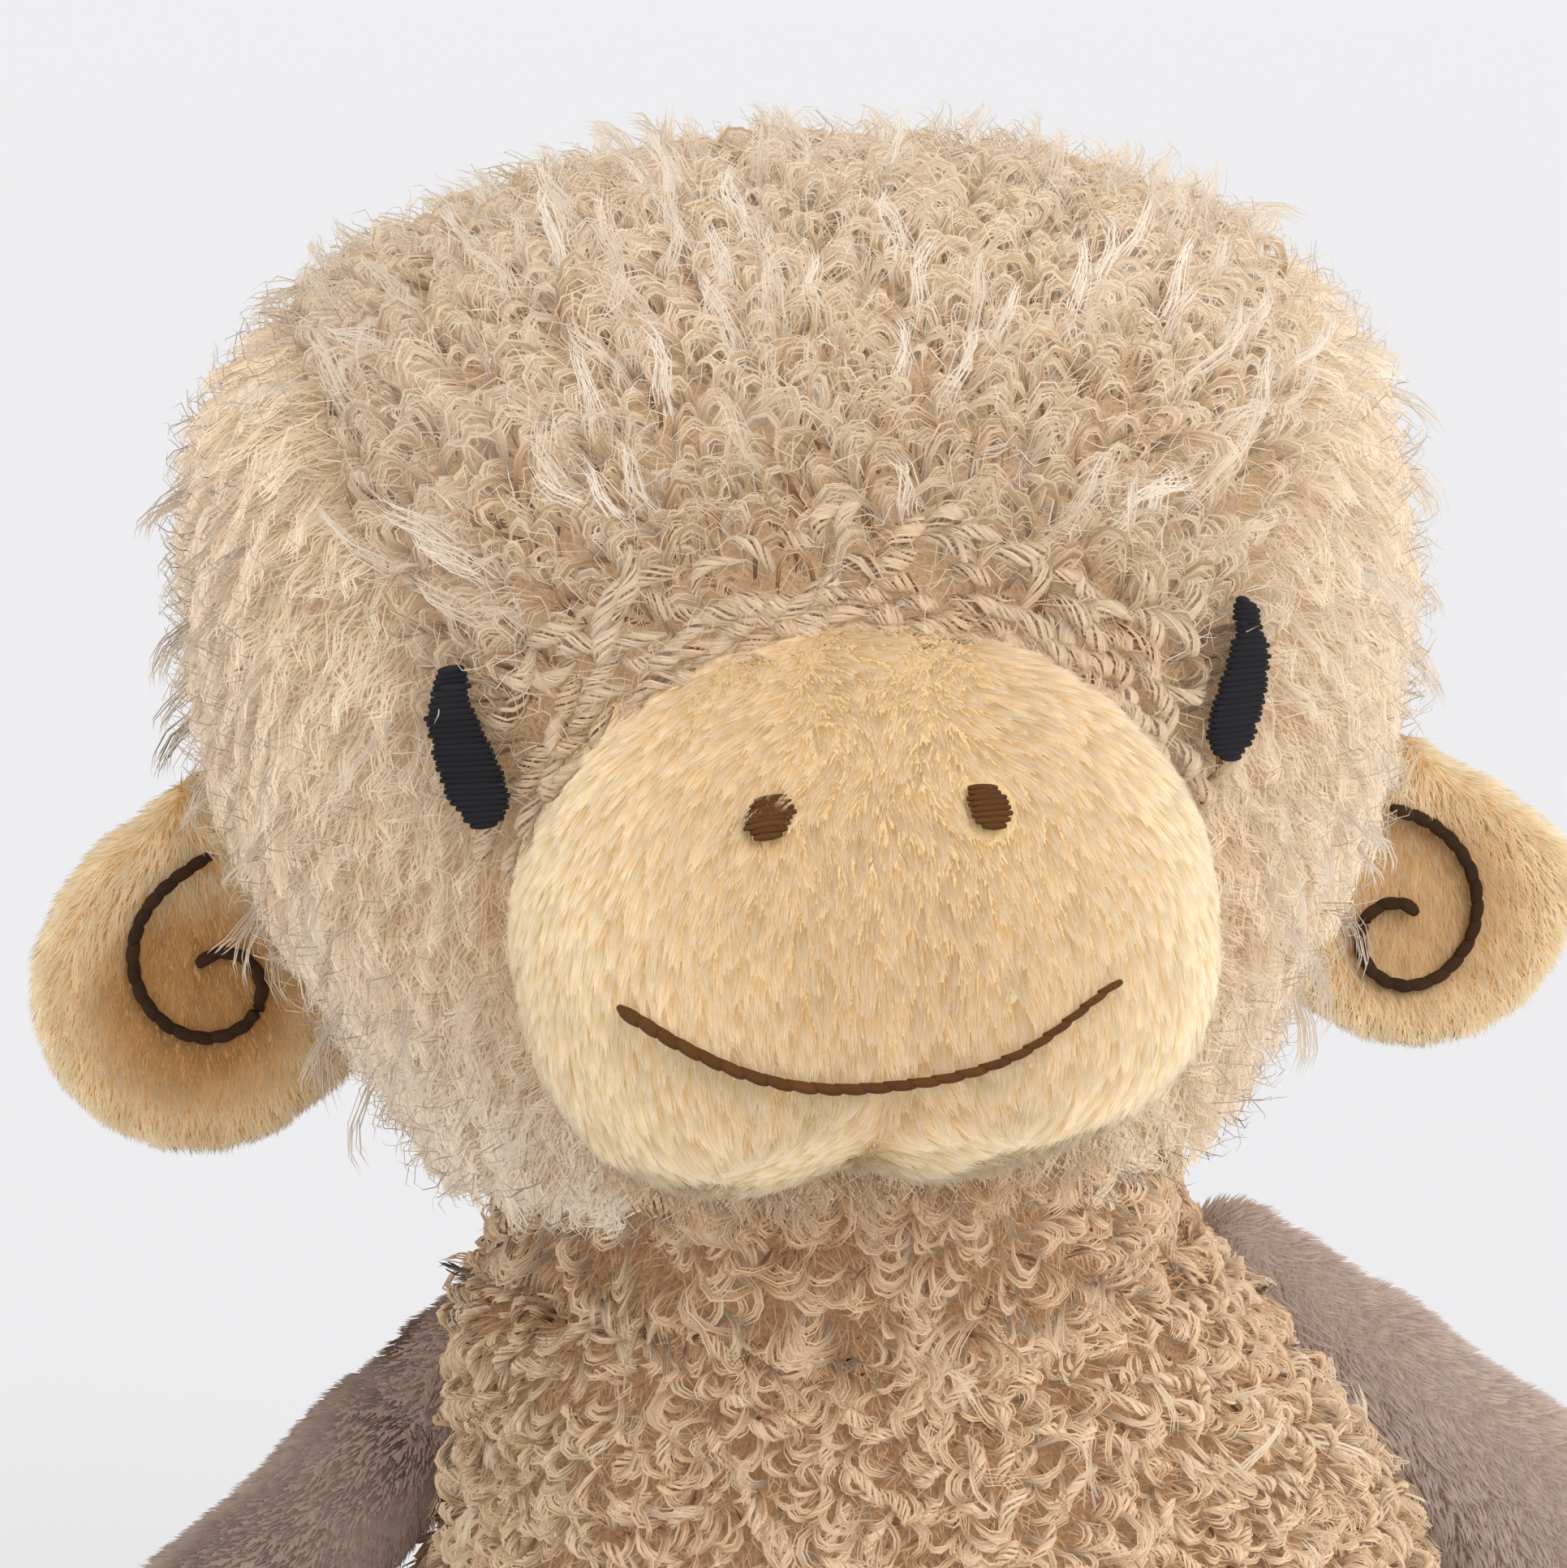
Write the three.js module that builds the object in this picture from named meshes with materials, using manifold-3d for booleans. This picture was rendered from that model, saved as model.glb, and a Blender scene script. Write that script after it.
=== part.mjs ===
// A sitting plush monkey, sewn from pile fabric over stuffing. Millimetres, +Z up.
// The toy faces -Y, its left side is +X, and the origin is the middle of its flat seat.
import * as THREE from 'three';
import { mergeVertices } from 'three/addons/utils/BufferGeometryUtils.js';
import Module from 'manifold-3d';

const wasm = await Module();
wasm.setup();

// Fabric, thread and clearances
const SEAM_GAP = 0.3;
const FLOOR_CLEARANCE = 0.5;
const CURLY_PILE = 5;
const SHORT_PILE = 2.5;
const THREAD_RADIUS = 0.8;
const SATIN_HEIGHT = 1.2;

// Torso: full width, full depth, and the height of the neck above the seat
const TORSO_WIDTH = 110;
const TORSO_DEPTH = 94;
const NECK_HEIGHT = 112;
const SEAT_PANEL_HEIGHT = 9;
const BEAN_BAG_HEIGHT = 24;
const SIDE_SEAM_SETBACK = 6;

// Neck: a ball of stuffing between torso and head, and half the angle of the crease round it
const NECK_BALL_RADIUS = 26;
const NECK_CREASE_DEGREES = 6.5;
const NECK_FACETS = 24;

// Head: height is from the middle of the neck to the crown
const HEAD_WIDTH = 116.5;
const HEAD_DEPTH = 97;
const HEAD_HEIGHT = 101;
const HEAD_SEAM_INSET = 3;
const HEAD_SEAM_SPREAD = 0.3;

// Muzzle: places are above the neck and ahead of the head's axis
const MUZZLE_WIDTH = 63.5;
const MUZZLE_HEIGHT = 49.5;
const MUZZLE_DEPTH = 33;
const MUZZLE_RISE = 36.5;
const MUZZLE_FORWARD = 39;
const CHIN_DART_DEPTH = 4;
const CHIN_DART_WIDTH = 9;

// Embroidered face: rises are above the neck, or above the muzzle's middle
const EYE_SPACING = 67;
const EYE_RISE = 52;
const EYE_WIDTH = 9;
const EYE_HEIGHT = 14.6;
const NOSTRIL_SPACING = 18.4;
const NOSTRIL_RISE = 12.9;
const NOSTRIL_SIZE = 4.6;
const MOUTH_WIDTH = 39;
const MOUTH_DROP = 9.3;
const MOUTH_CURVE = 6.4;
const MOUTH_HALF_STEPS = 6;

// Ears: discs with a puffy rim, sewn on at a rise above the neck, and half their thicknesses
const EAR_RISE = 27;
const EAR_SETBACK = 3;
const EAR_RADIUS = 16.5;
const EAR_RIM_HALF = 5;
const EAR_HOLLOW_HALF = 2.7;
const EAR_BACK_HALF = 5;
const EAR_ROOT_RADIUS = 4.4;
const EAR_CENTRE_OUT = 4;
const EAR_LINING = 1.6;
const SPIRAL_OUTER = 12.2;
const SPIRAL_INNER = 2.8;
const SPIRAL_START_DEGREES = 117;
const SPIRAL_SWEEP_DEGREES = 391;
const SPIRAL_EASE = 2.4;
const SPIRAL_INSETS = { left: -0.5, right: 2.5 };
const SPIRAL_DROPS = { left: 3.6, right: -1.4 };
const SPIRAL_STEPS = 16;

// Arms: length is from the shoulder to the middle of the hand
const SHOULDER_HEIGHT = 87;
const SHOULDER_STANDOFF = 7;
const SHOULDER_RADIUS = 9;
const SHOULDER_TAB = 1.5;
const SHOULDER_TAB_DEGREES = 36;
const ARM_LENGTH = 93;
const ARM_RADIUS = 14;
const WRIST_RADIUS = 11.5;
const ARM_BOW = 1;
const ARM_FORWARD_DEGREES = 6;
const HAND_WIDTH = 29;
const HAND_LENGTH = 36;

// Legs: length is from the hip to the ankle
const HIP_HEIGHT = 18;
const HIP_SPACING = 56;
const HIP_STANDOFF = 6.5;
const HIP_RADIUS = 13;
const LEG_LENGTH = 92;
const LEG_RADIUS = 15.5;
const ANKLE_RADIUS = 12.5;
const LEG_SPLAY_DEGREES = 14;
const FOOT_WIDTH = 31;
const FOOT_HEIGHT = 45;
const FOOT_DEPTH = 27;

// Tail: it runs back along the floor and ends in an upward curl
const TAIL_ROOT_HEIGHT = 15;
const TAIL_STANDOFF = 4.5;
const TAIL_RADIUS = 6.8;
const TAIL_TIP_RADIUS = 5.6;
const TAIL_REACH = 70;
const TAIL_CURL_RADIUS = 19;
const TAIL_CURL_DEGREES = 205;
const TAIL_CURL_STEPS = 7;
const TAIL_CURL_TIGHTENING = 0.25;
const TAIL_RINGS = 15;
const TAIL_STUFFING_HOLE = 3.5;

// How each stuffed form swells: shares of its height, its half width and its half depth
const TORSO_SHAPE = [
  [0, 0.68, 0.68],
  [0.05, 0.84, 0.84],
  [0.18, 0.965, 0.96],
  [0.36, 1, 1],
  [0.53, 0.97, 0.955],
  [0.665, 0.91, 0.88],
  [0.785, 0.825, 0.785],
  [0.893, 0.715, 0.69],
  [1, 0.62, 0.61],
  [1.12, 0, 0],
];
const HEAD_SHAPE = [
  [-0.14, 0.5, 0.52],
  [0, 0.61, 0.63],
  [0.08, 0.705, 0.745],
  [0.18, 0.8, 0.83],
  [0.28, 0.895, 0.905],
  [0.38, 0.965, 0.96],
  [0.495, 1, 1],
  [0.63, 1, 0.99],
  [0.75, 0.968, 0.93],
  [0.83, 0.88, 0.83],
  [0.905, 0.715, 0.67],
  [0.965, 0.45, 0.43],
  [1, 0, 0],
];
const TORSO_ROUNDNESS = 2.15;
const HEAD_ROUNDNESS = 2.3;
const MUZZLE_ROUNDNESS_TOP = 2;
const MUZZLE_ROUNDNESS_BOTTOM = 3;
const MUZZLE_ROUNDNESS_FRONT = 2.25;

const LIMB_FACETS = { columns: 12, lining: { columns: 8, rows: 9 } };
const LIMB_TIP_SHARE = 0.2;
const TAIL_FACETS = { columns: 8, lining: { columns: 6, rows: 14 } };
const STEP = 0.002;
const CUTTER_SIZE = 400;
const UP = new THREE.Vector3(0, 0, 1);
const SIDEWAYS = new THREE.Vector3(1, 0, 0);

const materials = {
  curly: new THREE.MeshStandardMaterial({ color: 0xcdae8e, roughness: 0.95, metalness: 0 }),
  yellow: new THREE.MeshStandardMaterial({ color: 0xe3c08a, roughness: 0.9, metalness: 0 }),
  taupe: new THREE.MeshStandardMaterial({ color: 0x94806f, roughness: 0.9, metalness: 0 }),
  stuffing: new THREE.MeshStandardMaterial({ color: 0xf2f0ea, roughness: 1, metalness: 0 }),
  beans: new THREE.MeshStandardMaterial({ color: 0xd8d2c4, roughness: 0.95, metalness: 0 }),
  navy: new THREE.MeshStandardMaterial({ color: 0x252225, roughness: 0.6, metalness: 0 }),
  brown: new THREE.MeshStandardMaterial({ color: 0x4a2c14, roughness: 0.65, metalness: 0 }),
};

const radians = THREE.MathUtils.degToRad;

// Solids: a geometry becomes a solid for cutting, and a solid becomes a named mesh

function windingVolume(points, triangles) {
  const corners = [new THREE.Vector3(), new THREE.Vector3(), new THREE.Vector3()];
  let volume = 0;
  for (let i = 0; i < triangles.length; i += 3) {
    corners.forEach((corner, k) => corner.fromArray(points, 3 * triangles[i + k]));
    volume += corners[0].dot(corners[1].clone().cross(corners[2])) / 6;
  }
  return volume;
}

function solidFrom(geometry) {
  const bare = geometry.clone();
  bare.deleteAttribute('normal');
  bare.deleteAttribute('uv');
  const merged = mergeVertices(bare, 1e-4);
  const points = Float32Array.from(merged.attributes.position.array);
  const triangles = [];
  for (let i = 0; i < merged.index.count; i += 3) {
    const [a, b, c] = [0, 1, 2].map((k) => merged.index.getX(i + k));
    if (a !== b && b !== c && c !== a) triangles.push(a, b, c);
  }
  if (windingVolume(points, triangles) < 0) triangles.reverse();
  const options = { numProp: 3, vertProperties: points, triVerts: Uint32Array.from(triangles) };
  return new wasm.Manifold(new wasm.Mesh(options));
}

function geometryFrom(solid) {
  const { vertProperties, triVerts } = solid.getMesh();
  const geometry = new THREE.BufferGeometry();
  geometry.setAttribute('position', new THREE.BufferAttribute(Float32Array.from(vertProperties), 3));
  geometry.setIndex(new THREE.BufferAttribute(Uint32Array.from(triVerts), 1));
  return geometry;
}

function mirrored(solid) {
  const geometry = geometryFrom(solid);
  geometry.scale(-1, 1, 1);
  return solidFrom(geometry);
}

function addPiece(group, name, solid, material) {
  const pivot = new THREE.Vector3();
  for (let carrier = group; carrier; carrier = carrier.parent) pivot.add(carrier.position);
  const geometry = geometryFrom(solid).translate(-pivot.x, -pivot.y, -pivot.z);
  geometry.computeVertexNormals();
  const mesh = new THREE.Mesh(geometry, material);
  mesh.name = name;
  group.add(mesh);
}

function bodyAt(parent, name, pivot) {
  const group = new THREE.Group();
  group.name = name;
  for (let carrier = parent; carrier; carrier = carrier.parent) group.position.sub(carrier.position);
  group.position.add(pivot);
  parent.add(group);
  return group;
}

// Cutters: half spaces and clearance balls

function boxSolid(size, centre, rotationY = 0) {
  const geometry = new THREE.BoxGeometry(size, size, size);
  geometry.rotateY(rotationY);
  geometry.translate(centre.x, centre.y, centre.z);
  return solidFrom(geometry);
}

// Everything on the side of a plane that its normal points to
function halfSpace(normal, point) {
  const centre = point.clone().addScaledVector(normal, CUTTER_SIZE / 2);
  return boxSolid(CUTTER_SIZE, centre, Math.atan2(-normal.z, normal.x));
}

function above(z) {
  return halfSpace(UP, new THREE.Vector3(0, 0, z));
}

function behind(y) {
  const centre = new THREE.Vector3(0, y + CUTTER_SIZE / 2, 0);
  return boxSolid(CUTTER_SIZE, centre);
}

function ballSolid(centre, radius, columns = 14) {
  const geometry = new THREE.SphereGeometry(radius, columns, columns / 2);
  geometry.rotateX(Math.PI / 2);
  geometry.translate(centre.x, centre.y, centre.z);
  return solidFrom(geometry);
}

// A ball whose flats, not its corners, lie at the radius, for cutting a hollow round a ball
function hollowBall(centre, radius, columns = 14) {
  return ballSolid(centre, radius / Math.cos(Math.PI / columns) ** 2, columns);
}

// Stuffed forms: closed surfaces given by a point for each share round (u) and along (v)

function superRadius(angle, roundness) {
  const c = Math.abs(Math.cos(angle)) ** roundness;
  const s = Math.abs(Math.sin(angle)) ** roundness;
  return (c + s) ** (-1 / roundness);
}

function standingForm({ shape, width, depth, height, base, roundness, columns, rows, lining }) {
  const stations = shape.map(([h, w, d]) => new THREE.Vector3(w * width / 2, d * depth / 2, base + h * height));
  const profile = new THREE.CatmullRomCurve3(stations, false, 'centripetal');
  const pointAt = (u, v) => {
    const station = profile.getPoint(v);
    const angle = 2 * Math.PI * u;
    const radius = superRadius(angle, roundness);
    return new THREE.Vector3(
      station.x * radius * Math.cos(angle),
      station.y * radius * Math.sin(angle),
      station.z,
    );
  };
  return { pointAt, columns, rows, lining, flatBase: true };
}

function ellipsoidForm(size, place) {
  const pointAt = (u, v) => {
    const point = new THREE.Vector3().setFromSphericalCoords(1, Math.PI * (1 - v), 2 * Math.PI * u);
    point.set(point.z * size.x / 2, point.x * size.y / 2, point.y * size.z / 2);
    return point.applyMatrix4(place);
  };
  return { pointAt, columns: 12, rows: 8, lining: { columns: 8, rows: 6 } };
}

// The muzzle's poles are its back and front, so that its outline is seen from the front
function muzzleForm(centre) {
  const profilePower = 2 / MUZZLE_ROUNDNESS_FRONT;
  const pointAt = (u, v) => {
    const angle = 2 * Math.PI * u;
    const roundness = Math.sin(angle) > 0 ? MUZZLE_ROUNDNESS_TOP : MUZZLE_ROUNDNESS_BOTTOM;
    const reach = Math.sin(Math.PI * v) ** profilePower;
    const radius = reach * superRadius(angle, roundness);
    const across = radius * Math.cos(angle) * MUZZLE_WIDTH / 2;
    const rise = radius * Math.sin(angle) * MUZZLE_HEIGHT / 2;
    const dartShape = Math.exp(-((2 * across / CHIN_DART_WIDTH) ** 2)) * reach ** 2;
    const dart = CHIN_DART_DEPTH * dartShape * Math.max(0, -Math.sin(angle));
    const turn = -Math.cos(Math.PI * v);
    const forward = Math.sign(turn) * Math.abs(turn) ** profilePower * MUZZLE_DEPTH;
    return new THREE.Vector3(centre.x + across, centre.y - forward, centre.z + rise + dart);
  };
  // The place (u, v) of the front point that lies at a distance across and a rise from the middle
  const frontPlace = (across, rise) => {
    const x = 2 * across / MUZZLE_WIDTH;
    const z = 2 * rise / MUZZLE_HEIGHT;
    const angle = Math.atan2(z, x);
    const roundness = z > 0 ? MUZZLE_ROUNDNESS_TOP : MUZZLE_ROUNDNESS_BOTTOM;
    const reach = Math.hypot(x, z) / superRadius(angle, roundness);
    const turn = Math.PI - Math.asin(reach ** (1 / profilePower));
    return [angle / (2 * Math.PI), turn / Math.PI];
  };
  return { pointAt, frontPlace, columns: 24, rows: 10, lining: { columns: 16, rows: 7 } };
}

// A limb swept along a spine that lies in one plane. Its root is a ball round the spine's start.
function limbForm({ spine, planeNormal, rootRadius, stations, tipLength, columns, lining }) {
  const arc = [90, 60, 30].map(radians);
  const [lastDistance, lastRadius] = stations[stations.length - 1];
  const rows = [
    ...arc.map((a) => [-rootRadius * Math.sin(a), rootRadius * Math.cos(a)]),
    [0, rootRadius],
    ...stations,
    ...arc.toReversed().map((a) => [lastDistance + tipLength * Math.sin(a), lastRadius * Math.cos(a)]),
  ];
  const profile = new THREE.CatmullRomCurve3(rows.map(([d, r]) => new THREE.Vector3(d, r, 0)));
  const length = spine.getLength();
  const pointAt = (u, v) => {
    const { x: distance, y: radius } = profile.getPoint(v);
    const share = THREE.MathUtils.clamp(distance / length, 0, 1);
    const along = spine.getTangentAt(share);
    const centre = spine.getPointAt(share).addScaledVector(along, distance - share * length);
    const across = new THREE.Vector3().crossVectors(along, planeNormal);
    const angle = 2 * Math.PI * u;
    centre.addScaledVector(planeNormal, radius * Math.cos(angle));
    return centre.addScaledVector(across, radius * Math.sin(angle));
  };
  return { pointAt, columns, rows: rows.length - 1, lining };
}

function normalAt(form, u, v) {
  const low = Math.max(0, v - STEP);
  const high = Math.min(1, v + STEP);
  const round = form.pointAt(u + STEP, v).sub(form.pointAt(u - STEP, v));
  const along = form.pointAt(u, high).sub(form.pointAt(u, low));
  return round.cross(along).normalize();
}

// The surface of a form, moved out along its normals by an offset, as one closed solid
function formSolid(form, offset = 0, { columns, rows } = form) {
  const firstRow = form.flatBase ? 0 : 1;
  const rings = [];
  for (let row = firstRow; row < rows; row += 1) {
    const ring = [];
    for (let column = 0; column < columns; column += 1) {
      const [u, v] = [column / columns, row / rows];
      ring.push(form.pointAt(u, v).addScaledVector(normalAt(form, u, v), offset));
    }
    rings.push(ring);
  }
  const middle = (ring) => ring.reduce((sum, p) => sum.add(p), new THREE.Vector3()).divideScalar(columns);
  const pole = (v, ring) => {
    const point = form.pointAt(0, v);
    const outward = point.clone().sub(middle(ring)).normalize();
    return point.addScaledVector(outward, offset);
  };
  const bottom = form.flatBase ? middle(rings[0]) : pole(0, rings[0]);
  const top = pole(1, rings[rings.length - 1]);
  const points = [bottom, ...rings.flat(), top];
  const at = (row, column) => 1 + row * columns + (column % columns);
  const triangles = [];
  for (let column = 0; column < columns; column += 1) {
    triangles.push(0, at(0, column + 1), at(0, column));
    triangles.push(points.length - 1, at(rings.length - 1, column), at(rings.length - 1, column + 1));
    for (let row = 0; row + 1 < rings.length; row += 1) {
      triangles.push(at(row, column), at(row, column + 1), at(row + 1, column + 1));
      triangles.push(at(row, column), at(row + 1, column + 1), at(row + 1, column));
    }
  }
  const geometry = new THREE.BufferGeometry().setFromPoints(points);
  geometry.setIndex(triangles);
  return solidFrom(geometry);
}

// The surface of a form at a depth inside it, with fewer facets, for linings and stuffing
function insideSolid(form, depth) {
  return formSolid(form, -depth, form.lining);
}

function bisect(valueAt, target, low, high) {
  let [from, to] = [low, high];
  for (let i = 0; i < 40; i += 1) {
    const middle = (from + to) / 2;
    if (valueAt(middle) < target) from = middle;
    else to = middle;
  }
  return (from + to) / 2;
}

// The place (u, v) on a standing form at a height, where one coordinate has a value
function standingPlace(form, height, axis, value, fromShare, toShare) {
  const v = bisect((share) => form.pointAt(0, share).z, height, 0, 1);
  const u = bisect((share) => form.pointAt(share, v)[axis], value, fromShare, toShare);
  return [u, v];
}

// A pivot a given distance outside a form, level with the place that carries it
function pivotOutside(form, [u, v], standoff) {
  const level = normalAt(form, u, v).setZ(0).normalize();
  return form.pointAt(u, v).addScaledVector(level, standoff);
}

// A pad of satin stitch that lies on a form, with an oval outline
function satinPad(form, [u, v], width, height) {
  const outline = new THREE.CylinderGeometry(0.5, 0.5, 4 * CURLY_PILE, 14);
  outline.rotateX(Math.PI / 2);
  outline.scale(width, height, 1);
  const normal = normalAt(form, u, v);
  const across = new THREE.Vector3().crossVectors(UP, normal).normalize();
  const rise = new THREE.Vector3().crossVectors(normal, across);
  outline.applyMatrix4(new THREE.Matrix4().makeBasis(across, rise, normal));
  const { x, y, z } = form.pointAt(u, v);
  outline.translate(x, y, z);
  const layer = formSolid(form, SEAM_GAP + SATIN_HEIGHT).subtract(formSolid(form, SEAM_GAP));
  return layer.intersect(solidFrom(outline));
}

// A line of embroidery: a thread tube along a path of points
function threadSolid(points) {
  const path = new THREE.CatmullRomCurve3(points);
  const section = new THREE.Shape().absarc(0, 0, THREAD_RADIUS, 0, 2 * Math.PI);
  const options = { steps: Math.ceil(1.4 * points.length), curveSegments: 3, bevelEnabled: false, extrudePath: path };
  return solidFrom(new THREE.ExtrudeGeometry(section, options));
}

// The forms of torso, head and muzzle

const neckPivot = new THREE.Vector3(0, 0, NECK_HEIGHT);

const torsoForm = standingForm({
  shape: TORSO_SHAPE,
  width: TORSO_WIDTH,
  depth: TORSO_DEPTH,
  height: NECK_HEIGHT,
  base: 0,
  roundness: TORSO_ROUNDNESS,
  columns: 24,
  rows: 11,
  lining: { columns: 16, rows: 8 },
});

const headForm = standingForm({
  shape: HEAD_SHAPE,
  width: HEAD_WIDTH,
  depth: HEAD_DEPTH,
  height: HEAD_HEIGHT,
  base: NECK_HEIGHT,
  roundness: HEAD_ROUNDNESS,
  columns: 24,
  rows: 13,
  lining: { columns: 16, rows: 9 },
});

const muzzleCentre = new THREE.Vector3(0, -MUZZLE_FORWARD, NECK_HEIGHT + MUZZLE_RISE);
const muzzle = muzzleForm(muzzleCentre);

// Pivots of the limbs, each level with the place on the torso that carries it

const shoulderPlace = standingPlace(torsoForm, SHOULDER_HEIGHT, 'y', SIDE_SEAM_SETBACK, -0.25, 0.25);
const shoulderPivot = pivotOutside(torsoForm, shoulderPlace, SHOULDER_STANDOFF);
const shoulderHollow = SHOULDER_RADIUS + SHOULDER_TAB + 2 * SEAM_GAP;
const hipPlace = standingPlace(torsoForm, HIP_HEIGHT, 'x', HIP_SPACING / 2, -0.25, 0);
const hipPivot = pivotOutside(torsoForm, hipPlace, HIP_STANDOFF);
const tailPlace = standingPlace(torsoForm, TAIL_ROOT_HEIGHT, 'y', CUTTER_SIZE, 0, 0.25);
const tailPivot = pivotOutside(torsoForm, tailPlace, TAIL_STANDOFF);

function mirroredPoint(point) {
  return new THREE.Vector3(-point.x, point.y, point.z);
}

function cutAll(solid, cutters) {
  return cutters.reduce((rest, cutter) => rest.subtract(cutter), solid);
}

// What the crease round the neck takes away: side 1 cuts the torso, side -1 cuts the head
function creaseCutter(side) {
  const reach = CUTTER_SIZE / 2;
  const slope = Math.tan(radians(NECK_CREASE_DEGREES));
  const outline = [
    new THREE.Vector2(0, 0),
    new THREE.Vector2(reach, -side * reach * slope),
    new THREE.Vector2(reach, side * reach),
    new THREE.Vector2(0, side * reach),
  ];
  const geometry = new THREE.LatheGeometry(outline, 28);
  geometry.rotateX(Math.PI / 2);
  geometry.translate(neckPivot.x, neckPivot.y, neckPivot.z);
  return solidFrom(geometry);
}

const neckHollow = hollowBall(neckPivot, NECK_BALL_RADIUS + SEAM_GAP, NECK_FACETS);

// Hollows in the torso for the rounded roots of neck, arms, legs and tail
function torsoHollows() {
  return [
    neckHollow,
    hollowBall(shoulderPivot, shoulderHollow),
    hollowBall(mirroredPoint(shoulderPivot), shoulderHollow),
    hollowBall(hipPivot, HIP_RADIUS + SEAM_GAP),
    hollowBall(mirroredPoint(hipPivot), HIP_RADIUS + SEAM_GAP),
    hollowBall(tailPivot, TAIL_RADIUS + SEAM_GAP),
  ];
}

// Torso: seat, front and back panels, the stuffing and a bag of beans that weighs the seat down
function buildTorso(group) {
  const cutters = [creaseCutter(1), ...torsoHollows()];
  const shell = cutAll(formSolid(torsoForm).subtract(insideSolid(torsoForm, CURLY_PILE)), cutters);
  const wall = shell.intersect(above(SEAT_PANEL_HEIGHT + SEAM_GAP));
  const front = wall.subtract(behind(SIDE_SEAM_SETBACK - SEAM_GAP / 2));
  const back = wall.intersect(behind(SIDE_SEAM_SETBACK + SEAM_GAP / 2));
  addPiece(group, 'torso_seat_panel', shell.subtract(above(SEAT_PANEL_HEIGHT)), materials.curly);
  addPiece(group, 'torso_front_panel', front, materials.curly);
  addPiece(group, 'torso_back_panel', back, materials.curly);
  const inside = cutAll(insideSolid(torsoForm, CURLY_PILE + SEAM_GAP), cutters);
  const filling = inside.intersect(above(BEAN_BAG_HEIGHT + SEAM_GAP));
  addPiece(group, 'torso_filling', filling, materials.stuffing);
  addPiece(group, 'seat_bean_bag', inside.subtract(above(BEAN_BAG_HEIGHT)), materials.beans);
}

// Neck: a ball of stuffing that both the torso and the head close over
function buildNeck(group) {
  const ball = ballSolid(neckPivot, NECK_BALL_RADIUS, NECK_FACETS);
  addPiece(group, 'neck_filling', ball, materials.stuffing);
}

// One of the two seam planes that split the head's cover, moved outward by an offset
function headSide(offset) {
  const normal = new THREE.Vector3(1, 0, -HEAD_SEAM_SPREAD).normalize();
  const seam = new THREE.Vector3(MUZZLE_WIDTH / 2 - HEAD_SEAM_INSET, 0, muzzleCentre.z);
  return halfSpace(normal, seam.addScaledVector(normal, offset));
}

// Head: two side panels, a crown panel from brow to nape, a chin panel, muzzle and stuffing
function buildHead(group) {
  const muzzleHole = formSolid(muzzle, SEAM_GAP);
  const cutters = [creaseCutter(-1), neckHollow];
  const inner = insideSolid(headForm, CURLY_PILE);
  const shell = cutAll(formSolid(headForm).subtract(inner), [...cutters, muzzleHole]);
  const left = shell.intersect(headSide(SEAM_GAP / 2));
  const leftCutter = headSide(-SEAM_GAP / 2);
  const centre = cutAll(shell, [leftCutter, mirrored(leftCutter)]);
  const notChin = above(muzzleCentre.z).add(behind(0));
  addPiece(group, 'head_left_panel', left, materials.curly);
  addPiece(group, 'head_right_panel', mirrored(left), materials.curly);
  addPiece(group, 'head_crown_panel', centre.intersect(notChin), materials.curly);
  addPiece(group, 'head_chin_panel', centre.subtract(notChin), materials.curly);
  const muzzleCover = formSolid(muzzle).subtract(insideSolid(muzzle, SHORT_PILE)).subtract(inner);
  addPiece(group, 'muzzle_cover', muzzleCover, materials.yellow);
  const muzzleInside = insideSolid(muzzle, SHORT_PILE + SEAM_GAP);
  const inside = insideSolid(headForm, CURLY_PILE + SEAM_GAP).add(muzzleInside);
  addPiece(group, 'head_filling', cutAll(inside, cutters), materials.stuffing);
}

// Embroidered eyes, nostrils and smile
function buildFace(group) {
  const eyePlace = standingPlace(headForm, NECK_HEIGHT + EYE_RISE, 'x', EYE_SPACING / 2, -0.25, 0);
  const eye = satinPad(headForm, eyePlace, EYE_WIDTH, EYE_HEIGHT);
  addPiece(group, 'left_eye', eye, materials.navy);
  addPiece(group, 'right_eye', mirrored(eye), materials.navy);
  const nostrilPlace = muzzle.frontPlace(NOSTRIL_SPACING / 2, NOSTRIL_RISE);
  const nostril = satinPad(muzzle, nostrilPlace, NOSTRIL_SIZE, NOSTRIL_SIZE);
  addPiece(group, 'left_nostril', nostril, materials.brown);
  addPiece(group, 'right_nostril', mirrored(nostril), materials.brown);
  const smile = [];
  for (let i = -MOUTH_HALF_STEPS; i <= MOUTH_HALF_STEPS; i += 1) {
    const share = i / MOUTH_HALF_STEPS;
    const rise = MOUTH_CURVE * share ** 2 - MOUTH_DROP;
    const [u, v] = muzzle.frontPlace(share * MOUTH_WIDTH / 2, rise);
    const lift = THREAD_RADIUS + SEAM_GAP;
    smile.push(muzzle.pointAt(u, v).addScaledVector(normalAt(muzzle, u, v), lift));
  }
  addPiece(group, 'mouth_stitching', threadSolid(smile), materials.brown);
}

// Ear: a puffy disc in its own frame, with X away from the head, Y to the back and Z up

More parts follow.
